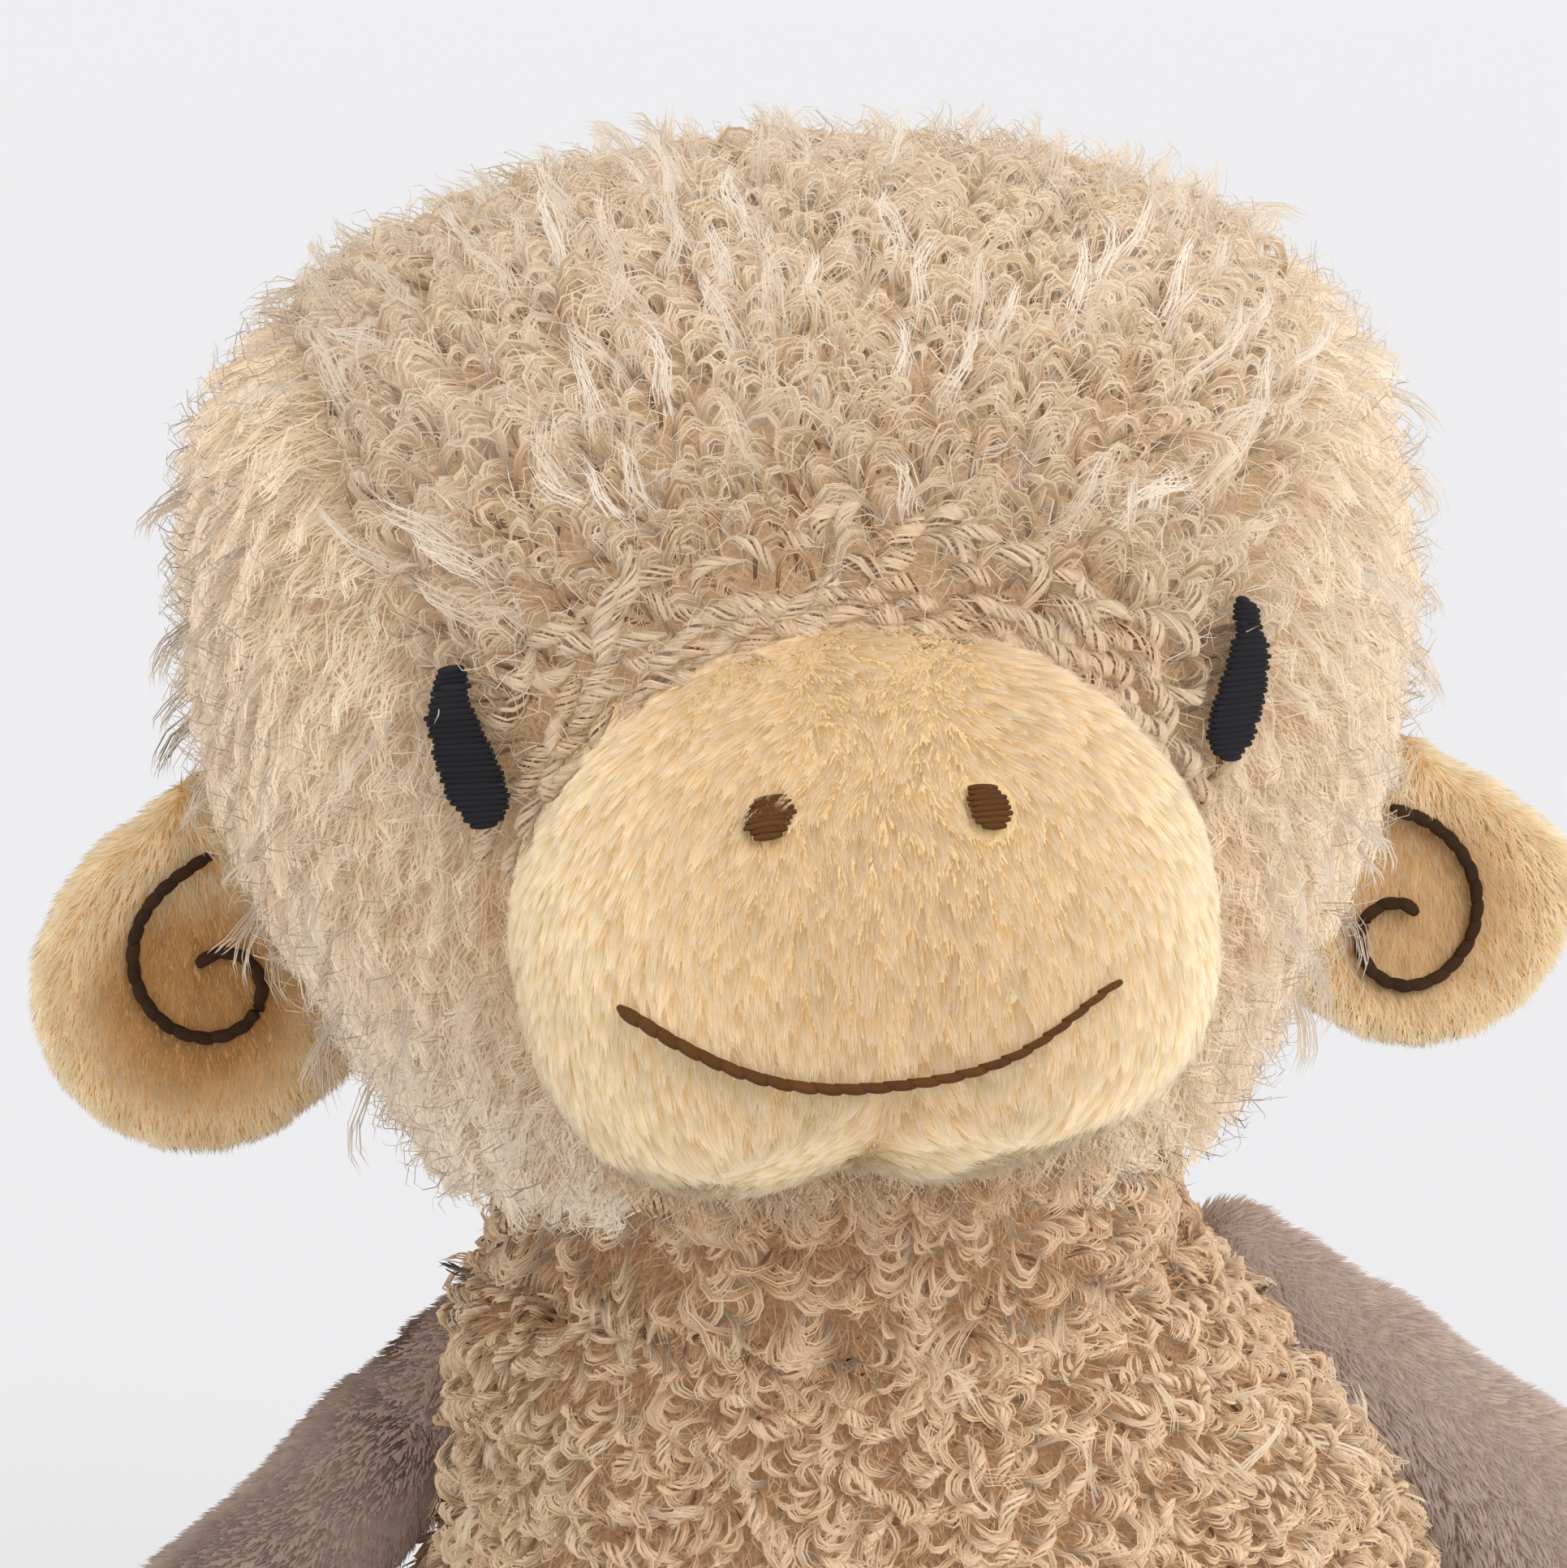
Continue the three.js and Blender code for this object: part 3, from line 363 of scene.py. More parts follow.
def shift(skin, axis, distance):
    """Moves a skin's points along an axis, by a distance that follows from their places in millimetres."""
    points = skin_arrays(skin)[0]
    points[:, axis] += MM * distance(points / MM)
    set_points(skin, points)


def hang_in(skin, side):
    """Moves the skin of an arm or a sleeve towards the torso, as it hangs in the picture."""
    shift(skin, X, lambda place: -MIRROR[side][X] * ARMS_IN[side])


def dart_shift(place):
    near_middle = np.clip(1 - (place[:, X] / DART_REACH) ** 2, 0, 1)
    return DART_SHIFT * near_middle * np.clip((DART_TOP - place[:, Z]) / DART_FADE, 0, 1)


def brow_rise(place):
    return MUZZLE_RISE * np.clip((place[:, Z] - MUZZLE_TOP) / RISE_FADE, 0, 1) * (place[:, Y] < MUZZLE_BACK)


for side in SIDES:
    hang_in(skins[f"{side}_arm"], side)
    shift(skins[f"{side}_leg"], Y, lambda place: np.interp(place[:, Y], LEG_ROOT, LEG_IN))
shift(skins["tail"], Y, lambda place: np.interp(place[:, Y], TAIL_ROOT, TAIL_IN))
shift(skins["torso"], X, lambda place: np.interp(place[:, Z], LEAN_HEIGHTS, BELLY_LEAN))
shift(skins["muzzle"], X, dart_shift)
shift(skins["muzzle"], Z, brow_rise)
print("the belly leans by", max(BELLY_LEAN), "mm, the arms hang in by", list(ARMS_IN.values()), "mm")

# %% [markdown]
# Pile is made of strands: short tubes with three sides and a pointed tip. Blender has hair of its own, but
# hair isn't part of a mesh, and this toy must keep its fur wherever the model goes, so the strands are real
# faces. All strands of a piece are worked out at once as arrays, because there are many thousands of them.
# Real fibres are so fine that light goes through them and a pile is lit as one soft surface. Tubes would
# look hard, so the normals for shading are turned most of the way to the normal of the cloth below.

# %% Strands
CORNER_ANGLES = 2 * np.pi * np.arange(3) / 3
SOFT = 0.7


def strand_points(paths, radii, across, normal):
    """Three points round each point of each path, then the tip, and the normals for their shading."""
    along = unit(np.gradient(paths, axis=1))
    first = unit(np.cross(along, across[:, None, :]))
    second = np.cross(along, first)
    turn = (np.cos(CORNER_ANGLES)[:, None] * first[:, :, None, :]
            + np.sin(CORNER_ANGLES)[:, None] * second[:, :, None, :])
    rings = paths[:, :, None, :] + radii[:, :, None, None] * turn
    facing = unit((1 - SOFT) * turn + SOFT * normal[:, None, None, :])
    count = len(paths)
    points = np.concatenate([rings[:, :-1].reshape(count, -1, 3), paths[:, -1:]], axis=1)
    normals = np.concatenate([facing[:, :-1].reshape(count, -1, 3), normal[:, None, :]], axis=1)
    return points, normals


def strand_faces(rings):
    """The corners of one strand's faces, and for each corner its place round and along the strand."""
    fours, threes = [], []
    for ring in range(rings - 1):
        for k in range(3):
            low, high = 3 * ring, 3 * ring + 3
            fours.append([(low + k, k, ring), (low + (k + 1) % 3, k + 1, ring),
                          (high + (k + 1) % 3, k + 1, ring + 1), (high + k, k, ring + 1)])
    last, tip = 3 * (rings - 1), 3 * rings
    for k in range(3):
        base = [(last + k, k, rings - 1), (last + (k + 1) % 3, k + 1, rings - 1)]
        threes.append(base + [(tip, k + 0.5, rings)])
    threes.append([(2, 2, 0), (1, 1, 0), (0, 0, 0)])
    return np.array(fours, float).reshape(-1, 4, 3), np.array(threes, float)


print("a strand with 8 points has", sum(len(faces) for faces in strand_faces(7)), "faces")

# %% [markdown]
# The arrays become one mesh. Each strand carries marks for its material: how far along it and round it a
# point lies, a shade and a tone. It also has a small square of its own on the mesh's map, so that its
# colours can be kept as a picture.

# %% Meshes of strands
MAP_MARGIN = 0.1


def set_mark(mesh, name, values):
    mesh.attributes.new(name, "FLOAT", "POINT").data.foreach_set("value", values.astype(np.float32).ravel())


def strand_mesh(name, paths, radii, across, marks):
    """A mesh of strands, with marks for the material and a place for each strand on a map."""
    count, steps = paths.shape[:2]
    rings = steps - 1
    points, normals = strand_points(paths, radii, across, marks["normal"])
    fours, threes = strand_faces(rings)
    corners = np.concatenate([fours.reshape(-1, 3), threes.reshape(-1, 3)])
    starts = np.concatenate([4 * np.arange(len(fours)), 4 * len(fours) + 3 * np.arange(len(threes))])
    strand = np.arange(count)[:, None]
    mesh = bpy.data.meshes.new(name)
    mesh.vertices.add(points.shape[0] * points.shape[1])
    mesh.vertices.foreach_set("co", points.ravel())
    mesh.loops.add(count * len(corners))
    mesh.loops.foreach_set("vertex_index", (corners[:, 0].astype(int) + strand * points.shape[1]).ravel())
    mesh.polygons.add(count * len(starts))
    mesh.polygons.foreach_set("loop_start", (starts + strand * len(corners)).ravel())
    mesh.update(calc_edges=True)
    mesh.polygons.foreach_set("use_smooth", np.ones(len(mesh.polygons), bool))
    for mark in ("along", "shade", "tone"):
        values = marks[mark] if mark == "along" else np.broadcast_to(marks[mark][:, None], (count, steps))
        set_mark(mesh, mark, np.concatenate([np.repeat(values[:, :-1], 3, axis=1), values[:, -1:]], axis=1))
    set_mark(mesh, "round", np.tile(np.append(np.tile([0, 1 / 3, 2 / 3], rings), 0.5), count))
    grid = int(np.ceil(np.sqrt(count)))
    inside = 1 - 2 * MAP_MARGIN
    across_map = (strand % grid + MAP_MARGIN + inside * corners[:, 1] / 3) / grid
    along_map = (strand // grid + MAP_MARGIN + inside * corners[:, 2] / rings) / grid
    chart = mesh.uv_layers.new(name="OFBake")
    chart.data.foreach_set("uv", np.stack([across_map, along_map], axis=-1).astype(np.float32).ravel())
    mesh.normals_split_custom_set_from_vertices(normals.reshape(-1, 3).tolist())
    return mesh


def dress(name, strands, finish, body, *nodes, shadow=False):
    """A piece of fur that moves with a body and stands for some solids. Only thick locks cast a shadow.
    """
    piece = add_object(name, strand_mesh(name, *strands))
    piece.visible_shadow = shadow
    piece.visible_diffuse = False
    piece.data.materials.append(finish)
    if body:
        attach(piece, body)
    if nodes:
        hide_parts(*nodes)
    print(f"{name}: {len(strands[0])} strands, {len(piece.data.polygons)} faces")
    return piece


def together(*groups):
    """Several groups of strands, with the same number of points, as one."""
    paths, radii, across = (np.concatenate([group[i] for group in groups]) for i in range(3))
    marks = {mark: np.concatenate([group[3][mark] for group in groups]) for mark in groups[0][3]}
    return paths, radii, across, marks


def lit_from(strands, direction, share):
    """The same strands, their normals for shading turned to a direction, as light wraps round soft pile."""
    paths, radii, across, marks = strands
    towards = unit(marks["normal"] + share * unit(np.array(direction)))
    return paths, radii, across, {**marks, "normal": towards}


print("a strand fills", round((1 - 2 * MAP_MARGIN) ** 2, 2), "of its square on the map")

# %% [markdown]
# The strands need roots. Points are scattered over a skin in proportion to its area, with the skin's own
# normals. Locks are thinned so that they keep their distance, as the tufts of a woven pile do.

# %% Roots
TRIES = 5.0


class Roots:
    """Where strands grow: a place and a normal for each."""

    def __init__(self, place, normal):
        self.place = place
        self.normal = normal

    def __len__(self):
        return len(self.place)

    def keep(self, chosen):
        return Roots(self.place[chosen], self.normal[chosen])

    def flow(self, direction):
        """A direction laid along the surface at each root."""
        direction = np.broadcast_to(direction, self.place.shape)
        return unit(direction - (direction * self.normal).sum(1, keepdims=True) * self.normal)


def scatter(skin, per_square_mm, rng):
    """Roots spread evenly over a skin."""
    points, normals, triangles = skin_arrays(skin)
    a, b, c = (points[triangles[:, k]] for k in range(3))
    edges = np.cumsum(np.linalg.norm(np.cross(b - a, c - a), axis=1) / 2)
    count = int(edges[-1] / MM ** 2 * per_square_mm)
    chosen = np.searchsorted(edges, edges[-1] * (np.arange(count) + rng.random(count)) / count)
    corners = triangles[np.minimum(chosen, len(triangles) - 1)]
    u, v = rng.random((2, count, 1))
    u, v = np.where(u + v > 1, 1 - u, u), np.where(u + v > 1, 1 - v, v)

    def blend(values):
        first, second, third = (values[corners[:, k]] for k in range(3))
        return first * (1 - u - v) + second * u + third * v

    return Roots(blend(points), unit(blend(normals)))


def point_tree(points):
    """A tree that finds the nearest of some points."""
    tree = KDTree(len(points))
    for i, point in enumerate(points):
        tree.insert(point, i)
    tree.balance()
    return tree


def spaced(skin, spacing, rng):
    """Roots that keep a distance in millimetres from each other."""
    tries = scatter(skin, TRIES / spacing ** 2, rng)
    order = rng.permutation(len(tries))
    tree = point_tree(tries.place)
    free = np.ones(len(tries), bool)
    chosen = []
    for i in order:
        if free[i]:
            chosen.append(i)
            for _, near, _ in tree.find_range(tries.place[i], spacing * MM):
                free[near] = False
    return tries.keep(np.array(chosen))


def away_from(roots, points, distance):
    """Which roots lie further than a distance in millimetres from every one of some points."""
    tree = point_tree(points)
    return np.array([tree.find(point)[2] > distance * MM for point in roots.place])


trial = spaced(skins["seat"], 5.0, chance("trial"))
print("roots that lie 5 mm apart on the seat:", len(trial))

# %% [markdown]
# Which panel a root belongs to is decided by the solid that lies nearest. Cloth is also never quite even,
# so a slow random change over the surface gives it patches.

# %% Panels and patches
PATCH_WAVES = 12


def solid_tree(node):
    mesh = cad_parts[node].data
    return BVHTree.FromPolygons([v.co for v in mesh.vertices], [p.vertices for p in mesh.polygons])


def nearest_solid(roots, nodes, handicap=0.0):
    """For each root, the number of the nearest solid. The last one may have a handicap in millimetres."""
    trees = [solid_tree(node) for node in nodes]
    extra = [0.0] * (len(nodes) - 1) + [handicap * MM]
    return np.array([
        np.argmin([tree.find_nearest(point)[3] + more for tree, more in zip(trees, extra)])
        for point in roots.place
    ])


def patches(place, size, rng):
    """A slow change over a surface, from 0 to 1, in patches of about a size in millimetres."""
    waves = rng.normal(0, 1 / (size * MM), (3, PATCH_WAVES))
    heights = np.sin(place @ waves + rng.uniform(0, 2 * np.pi, PATCH_WAVES)).sum(1)
    return 0.5 + 0.5 * np.tanh(heights / 2)


print("solids that lie nearest to them:", set(nearest_solid(trial, TORSO_PANELS).tolist()))

# %% [markdown]
# The curly pile is a yarn that is crimped before it is woven in. Each lock lies on the cloth as a few
# arches, one behind the other, that lean the way the cloth was stroked. An arch could be one thick tube,
# but yarn shows its fibres, so each has a soft core with fine strands round it.

# %% Loops
ARCHES, ARCH_PITCH = 3, 1.3
PALEST = 0.3
FORWARD = np.array([0, -1.0, 0])


def turned(roots, flow, degrees, rng):
    """The flow at each root, turned on the surface by a random angle up to some degrees each way."""
    angle = np.radians(rng.uniform(-degrees, degrees, (len(roots), 1)))
    return flow * np.cos(angle) + np.cross(roots.normal, flow) * np.sin(angle)


def laid_out(roots, axis, across, sideways, forward, height):
    """The paths of strands, from their distances across and along the flow and above the cloth."""
    steps, each = sideways.shape[-1], (len(roots),) + (1,) * (sideways.ndim - 1) + (3,)
    paths = roots.place.reshape(each) + MM * (
        sideways[..., None] * across.reshape(each)
        + forward[..., None] * axis.reshape(each)
        + height[..., None] * roots.normal.reshape(each))
    return paths.reshape(-1, steps, 3)


def loops(roots, flow, rng, width=1.9, fibres=3, lean=(1.0, 2.0), swing=45, core=0.34, fine=0.1, steps=8):
    """A few arches over each root that lean along the flow, each a soft core with fine fibres round it."""
    count, ply = len(roots), fibres + 1
    axis = turned(roots, flow, swing, rng)
    across = np.cross(roots.normal, axis)
    lock, arch, strand = (count, 1, 1, 1), (count, ARCHES, 1, 1), (count, ARCHES, ply, 1)
    loose = np.where(np.arange(ply) > 0, 1.0, 0.0)[None, None, :, None]
    row = (np.arange(ARCHES) - (ARCHES - 1) / 2)[None, :, None, None]
    size = width * rng.uniform(0.6, 1.3, lock) * rng.uniform(0.75, 1.25, arch)
    size = size * (1 + loose * rng.normal(0, 0.1, strand))
    turn = np.linspace(-0.1, 1.1, steps) * np.pi + rng.uniform(-0.4, 0.4, arch)
    turn = turn + loose * rng.normal(0, 0.1, strand)
    height = size * np.sin(turn) * rng.uniform(0.7, 1.25, arch) + rng.uniform(0.2, 1.0, lock)
    sideways = size * np.cos(turn) * rng.uniform(0.75, 1.1, arch) + rng.normal(0, 0.5, arch)
    forward = row * ARCH_PITCH * rng.uniform(0.85, 1.2, lock) + rng.uniform(*lean, arch) * size * np.sin(turn)
    forward = forward + rng.normal(0, 0.4, arch) + loose * rng.normal(0, 0.2, strand)
    forward = forward + rng.uniform(-0.4, 0.4, arch) * sideways
    paths = laid_out(roots, axis, across, sideways, forward, height)
    swell = np.sin(np.linspace(0.2, 0.94, steps) * np.pi)
    radii = np.where(loose > 0, fine, core) * rng.uniform(0.75, 1.25, strand) * MM * swell
    top = np.clip(np.broadcast_to(np.sin(turn), (count, ARCHES, ply, steps)), 0, 1)
    # Painted shade: each arch is marked darker low down than at its top, and its core darker than its fibres.
    marks = {
        "along": (top * (0.7 + 0.3 * loose)).reshape(-1, steps),
        "shade": (rng.random(strand) * (0.6 + 0.4 * loose)).ravel(),
        "tone": np.repeat(rng.random(count) * PALEST, ARCHES * ply),
        "normal": np.repeat(roots.normal, ARCHES * ply, axis=0),
    }
    return paths, radii.reshape(-1, steps), np.repeat(axis, ARCHES * ply, axis=0), marks


print("strands of", len(trial), "locks:", len(loops(trial, trial.flow(FORWARD), chance("trial"))[0]))

# %% [markdown]
# Brushed parts have no arches left: their yarn has opened into clumps of wavy strands that run to one tip.
# The same helper makes the loose fluff over the curls and the long pale wisps that stand up from the head.

# %% Clumps
def clumps(roots, flow, rng, tone, length, strands, thick, rise=2.4, spread=1.6, wave=0.7, waves=1.1, steps=5,
           swing=26, gather=0.75):
    """A bundle of wavy strands at each root, which lie along the flow and run together to a tip."""
    count = len(roots)
    axis = turned(roots, flow, swing, rng)
    across = np.cross(roots.normal, axis)
    lock, strand = (count, 1, 1), (count, strands, 1)
    share = np.linspace(0, 1, steps)
    reach = length * rng.uniform(0.7, 1.3, lock) * rng.uniform(0.85, 1.1, strand)
    start = rng.normal(0, spread / 2, (2, *strand))
    hold = 1 - gather * share ** 0.8
    bend = wave * rng.uniform(0.5, 1.3, lock)
    phase = rng.uniform(0, 2 * np.pi, lock) + rng.normal(0, 0.5, strand)
    ripple = bend * np.sin(2 * np.pi * waves * share + phase) * np.minimum(1, 2 * share)
    sideways = start[0] * hold + ripple + rng.normal(0, 0.25, strand) * share
    forward = start[1] * hold + reach * share
    lift = rise * rng.uniform(0.75, 1.3, lock) * rng.uniform(0.85, 1.15, strand)
    height = lift * (1 - (1 - share) ** 2.2) + 0.5 * bend * np.cos(2 * np.pi * waves * share + phase) * share
    paths = laid_out(roots, axis, across, sideways, forward, height)
    swell = np.interp(share, [0, 0.35, 0.8, 1], [0.8, 1, 0.75, 0.2])
    radii = thick * MM * rng.uniform(0.65, 1.25, (len(paths), 1)) * swell
    marks = {
        "along": np.broadcast_to(share, radii.shape),
        "shade": rng.random(len(paths)),
        "tone": np.repeat(tone, strands),
        "normal": np.repeat(roots.normal, strands, axis=0),
    }
    return paths, radii, np.repeat(across, strands, axis=0), marks


# %% [markdown]
# In places the crimped yarn lies as a short rope: fine strands wound round each other. The brow has such
# ropes along the edge of the muzzle, and the chest is full of them.

# %% Ropes
def ropes(roots, flow, rng, length, thick, strands, fine, rise, swing, twist=1.1, bow=0.8, steps=8):
    """A short twisted lock at each root, which lies along the flow in a slight bow."""
    count = len(roots)
    axis = turned(roots, flow, swing, rng)
    across = np.cross(roots.normal, axis)
    lock, share = (count, 1, 1), np.linspace(0, 1, steps)
    winding = np.arange(strands)[None, :, None] / strands + twist * share * rng.uniform(0.7, 1.3, lock)
    angle = 2 * np.pi * winding + rng.uniform(0, 2 * np.pi, lock) + rng.normal(0, 0.25, (count, strands, 1))
    away = thick * rng.uniform(0.75, 1.3, lock) * np.sin((0.08 + 0.88 * share) * np.pi) ** 0.6
    arch = np.sin(share * np.pi)
    sideways = away * np.cos(angle) + bow * rng.normal(0, 1, lock) * arch
    height = away * np.sin(angle) + rise * (0.3 + arch) * rng.uniform(0.7, 1.4, lock)
    forward = length * rng.uniform(0.7, 1.3, lock) * (share - 0.35)
    paths = laid_out(roots, axis, across, sideways, forward, height)
    swell = np.sin(np.linspace(0.15, 0.95, steps) * np.pi) ** 0.7
    radii = fine * MM * rng.uniform(0.75, 1.25, (len(paths), 1)) * swell
    # Painted shade: strands on the underside of a rope are marked darker, those on top paler.
    marks = {
        "along": np.clip(0.48 + 0.5 * np.sin(angle) + 0.1 * arch, 0, 1).reshape(-1, steps),
        "shade": rng.random(len(paths)),
        "tone": np.repeat(rng.random(count) * PALEST, strands),
        "normal": np.repeat(roots.normal, strands, axis=0),
    }
    return paths, radii, np.repeat(across, strands, axis=0), marks


# %% [markdown]
# Short plush is denser and plainer: straight fibres that lean the way the cloth was stroked. They gather a
# little towards common tips, which gives the fine streaks of the muzzle. Each is one thin spike. The same
# spikes, short and turned every way, are the undercoat that fills the gaps between the curls.

# %% Plush
TUFT_GAP = 1.6
FIBRES_PER_TUFT = 6 * TUFT_GAP ** 2


def plush(roots, flow, rng, length, rise, thick=0.1, gather=0.35, swing=16, tone=None):
    """A short leaning fibre at each root, drawn a little towards the tip of its tuft."""
    count = len(roots)
    axis = turned(roots, flow, swing, rng)
    reach = length * rng.uniform(0.7, 1.25, (count, 1)) * MM
    lift = rise * rng.uniform(0.65, 1.3, (count, 1)) * MM
    tip = roots.place + reach * axis + lift * roots.normal
    leaders = rng.permutation(count)[:max(1, int(count / FIBRES_PER_TUFT))]
    tree = point_tree(roots.place[leaders])
    leader = leaders[[tree.find(point)[1] for point in roots.place]]
    paths = np.stack([roots.place, tip + gather * (tip[leader] - tip)], axis=1)
    radii = thick * MM * rng.uniform(0.7, 1.3, (count, 1)) * np.array([1.0, 0.0])
    tuft_shade = rng.random(count)[leader]
    marks = {
        "along": np.broadcast_to(np.array([0.2, 1.0]), radii.shape),
        "shade": 0.4 * rng.random(count) + 0.6 * tuft_shade,
        "tone": np.zeros(count) if tone is None else tone,
        "normal": roots.normal,
    }
    return paths, radii, np.cross(roots.normal, axis), marks


def undercoat(roots, direction, rng, length=2.6, rise=1.8, thick=0.17):
    """Short fibres turned every way, about a direction."""
    return plush(roots, roots.flow(np.array(direction)), rng, length, rise, thick, swing=90)


# %% [markdown]
# All three fabrics share one recipe. A strand is painted darker near its root, as painted shade where little
# light comes, and pale at its tip. Its shade makes neighbours differ and its tone leads to a second colour,
# for pale wisps, and for the muzzle's darker gold, which is partly painted shade. The tone also paints light
# and shade elsewhere: a paler lower cheek, darker middles of the ears and the arm in the head's shadow. The
# fibres are matt: a gloss on so many tubes would make the pile look wet.

# %% Pile finishes
ROOT_TO_TIP = (0.0, 0.55, 1.0)
FIBRES_ROUND, TWIST, ALONG_FIBRE, OWN_PATTERN = 9, 3, 2, 60


def pile(name, root, middle, tip, other, spread, streak):
    """A finish for strands: from root to tip, in shades and fine streaks, and a tone to another colour."""
    finish = Finish(name)
    along, shade = finish.mark("along"), finish.mark("shade")
    stops = [(place, colour(*shown)) for place, shown in zip(ROOT_TO_TIP, (root, middle, tip))]
    body = finish.add("ShaderNodeValToRGB", {"stops": stops}, {"Fac": along})
    toned = finish.mix(finish.mark("tone"), body, colour(*other))
    around = FIBRES_ROUND * finish.mark("round") + TWIST * along
    own = OWN_PATTERN * shade
    place = finish.add("ShaderNodeCombineXYZ", sockets={"X": around, "Y": ALONG_FIBRE * along, "Z": own})
    fibres = finish.noise(1.0, 1.0, place)
    brightness = shade * spread + fibres * streak + (1 - spread / 2 - streak / 2)
    shaded = finish.add("ShaderNodeHueSaturation", sockets={"Value": brightness, "Color": toned})
    return finish.surface(Base_Color=shaded, Roughness=0.9, Specular_IOR_Level=0.0)


curly = pile("curly_pile", (108, 74, 48), (196, 161, 126), (234, 208, 178), (248, 230, 206),
             spread=0.22, streak=0.2)
# Its paler second colour also paints light low on the cheek turned from the lamp.
brushed = pile("brushed_pile", (186, 150, 114), (228, 200, 168), (248, 225, 196), (250, 234, 212),
               spread=0.3, streak=0.2)
wispy = pile("wispy_pile", (176, 140, 106), (222, 194, 164), (246, 226, 200), (252, 238, 220),
             spread=0.2, streak=0.2)
# A darker copy of the curly pile, for the torso, the neck and the chin: painted shade.
shaded_curly = pile("shaded_curly_pile", (96, 64, 40), (192, 152, 115), (236, 203, 167), (246, 224, 196),
                   spread=0.22, streak=0.2)
# Its second colour is the muzzle's darker gold, partly its own colour and partly painted shade, and the
# painted shade in the middle of the ears.
yellow = pile("yellow_plush", (206, 162, 106), (231, 202, 156), (248, 231, 204), (170, 112, 48),
              spread=0.42, streak=0)
# Its second colour is the painted shade of the arm in the head's shadow, and patches on the legs.
taupe = pile("taupe_plush", (150, 128, 116), (182, 161, 149), (208, 190, 178), (84, 66, 58),
             spread=0.25, streak=0)
print("pile finishes:", curly.name, yellow.name, taupe.name)

# %% [markdown]
# The cloth under the pile shows only in the gaps between strands. A plain colour would look like paper
# there, so it has a close nap of its own, in streaks that run down the toy, and a bump of the same pattern.

# %% Backing cloth
NAP_SCALE, PATCH_SCALE = 2600, 160
NAP_SHARE = 0.7
NAP_DEPTH = 0.6 * MM


def backing(name, dark, light, streak):
    """A finish for the cloth under the pile: the smaller the streak, the longer the streaks down the toy."""
    finish = Finish(name)
    place = finish.add("ShaderNodeTexCoord", output="Object")
    scale = (NAP_SCALE, NAP_SCALE, NAP_SCALE * streak)
    nap = finish.noise(1.0, 3.0, finish.add("ShaderNodeMapping", sockets={"Vector": place, "Scale": scale}))
    worn = finish.noise(PATCH_SCALE, 2.0, place)
    share = finish.between(NAP_SHARE * nap + (1 - NAP_SHARE) * worn, 0.3, 0.7)
    bump = finish.add("ShaderNodeBump", sockets={"Strength": 0.8, "Distance": NAP_DEPTH, "Height": nap})
    tint = finish.mix(share, colour(*dark), colour(*light))
    return finish.surface(Base_Color=tint, Roughness=0.95, Specular_IOR_Level=0.0, Normal=bump)


curly_cloth = backing("curly_cloth", (176, 136, 100), (210, 174, 138), 1.0)
# Painted shade: darker than the head's cloth, so that the gaps between the torso's curls look shaded.
shaded_torso_cloth = backing("shaded_torso_cloth", (140, 102, 72), (184, 144, 108), 1.0)
yellow_cloth = backing("yellow_cloth", (226, 186, 128), (244, 216, 168), 0.25)
# Painted shade: darker than the muzzle's cloth, so that the gaps in the ears' pile look shaded.
ear_cloth = backing("ear_cloth", (184, 134, 80), (216, 170, 114), 0.25)
taupe_cloth = backing("taupe_cloth", (146, 124, 112), (178, 156, 144), 0.5)
print("cloths:", curly_cloth.name, yellow_cloth.name, taupe_cloth.name)

# %% [markdown]
# A stuffed skin swells between its seams. It could be modelled by hand, but a short cloth simulation with
# pressure inside gives it for free. How far a point may move is capped, so the size holds. The skins then
# move with their bodies and stand for the stuffing.

# %% Stuffing
PRESSURE, PRESSURE_FRAMES = 4.0, 14
SWELL_CAP = 1.2
NOT_SWOLLEN = ("seat", "neck", "left_ear", "right_ear")


def stuff(skin, cap):
    """Lets the pressure of the stuffing swell a skin, each point by no more than a cap in millimetres."""
    rest = skin_arrays(skin)[0]
    cloth = skin.modifiers.new("stuffing", "CLOTH")
    cloth.settings.use_pressure = True
    cloth.settings.uniform_pressure_force = PRESSURE
    cloth.settings.effector_weights.gravity = 0.0
    cloth.point_cache.frame_end = PRESSURE_FRAMES
    for step in range(1, PRESSURE_FRAMES + 1):
        bpy.context.scene.frame_set(step)
    apply_modifiers(skin)
    bpy.context.scene.frame_set(1)
    move = skin_arrays(skin)[0] - rest
    far = np.linalg.norm(move, axis=1, keepdims=True)
    set_points(skin, rest + move * np.minimum(1, cap * MM / np.maximum(far, 1e-9)))
    print(skin.name, "swelled by", round(float(np.minimum(far, cap * MM).mean()) / MM, 2), "mm on average")


def patch_cloth(skin, cloth, nodes):
    """A second cloth on the faces of a skin that lie nearest to the second of two solids."""
    skin.data.materials.append(cloth)
    middles = np.array([face.center for face in skin.data.polygons])
    skin.data.polygons.foreach_set("material_index", nearest_solid(Roots(middles, middles), nodes))


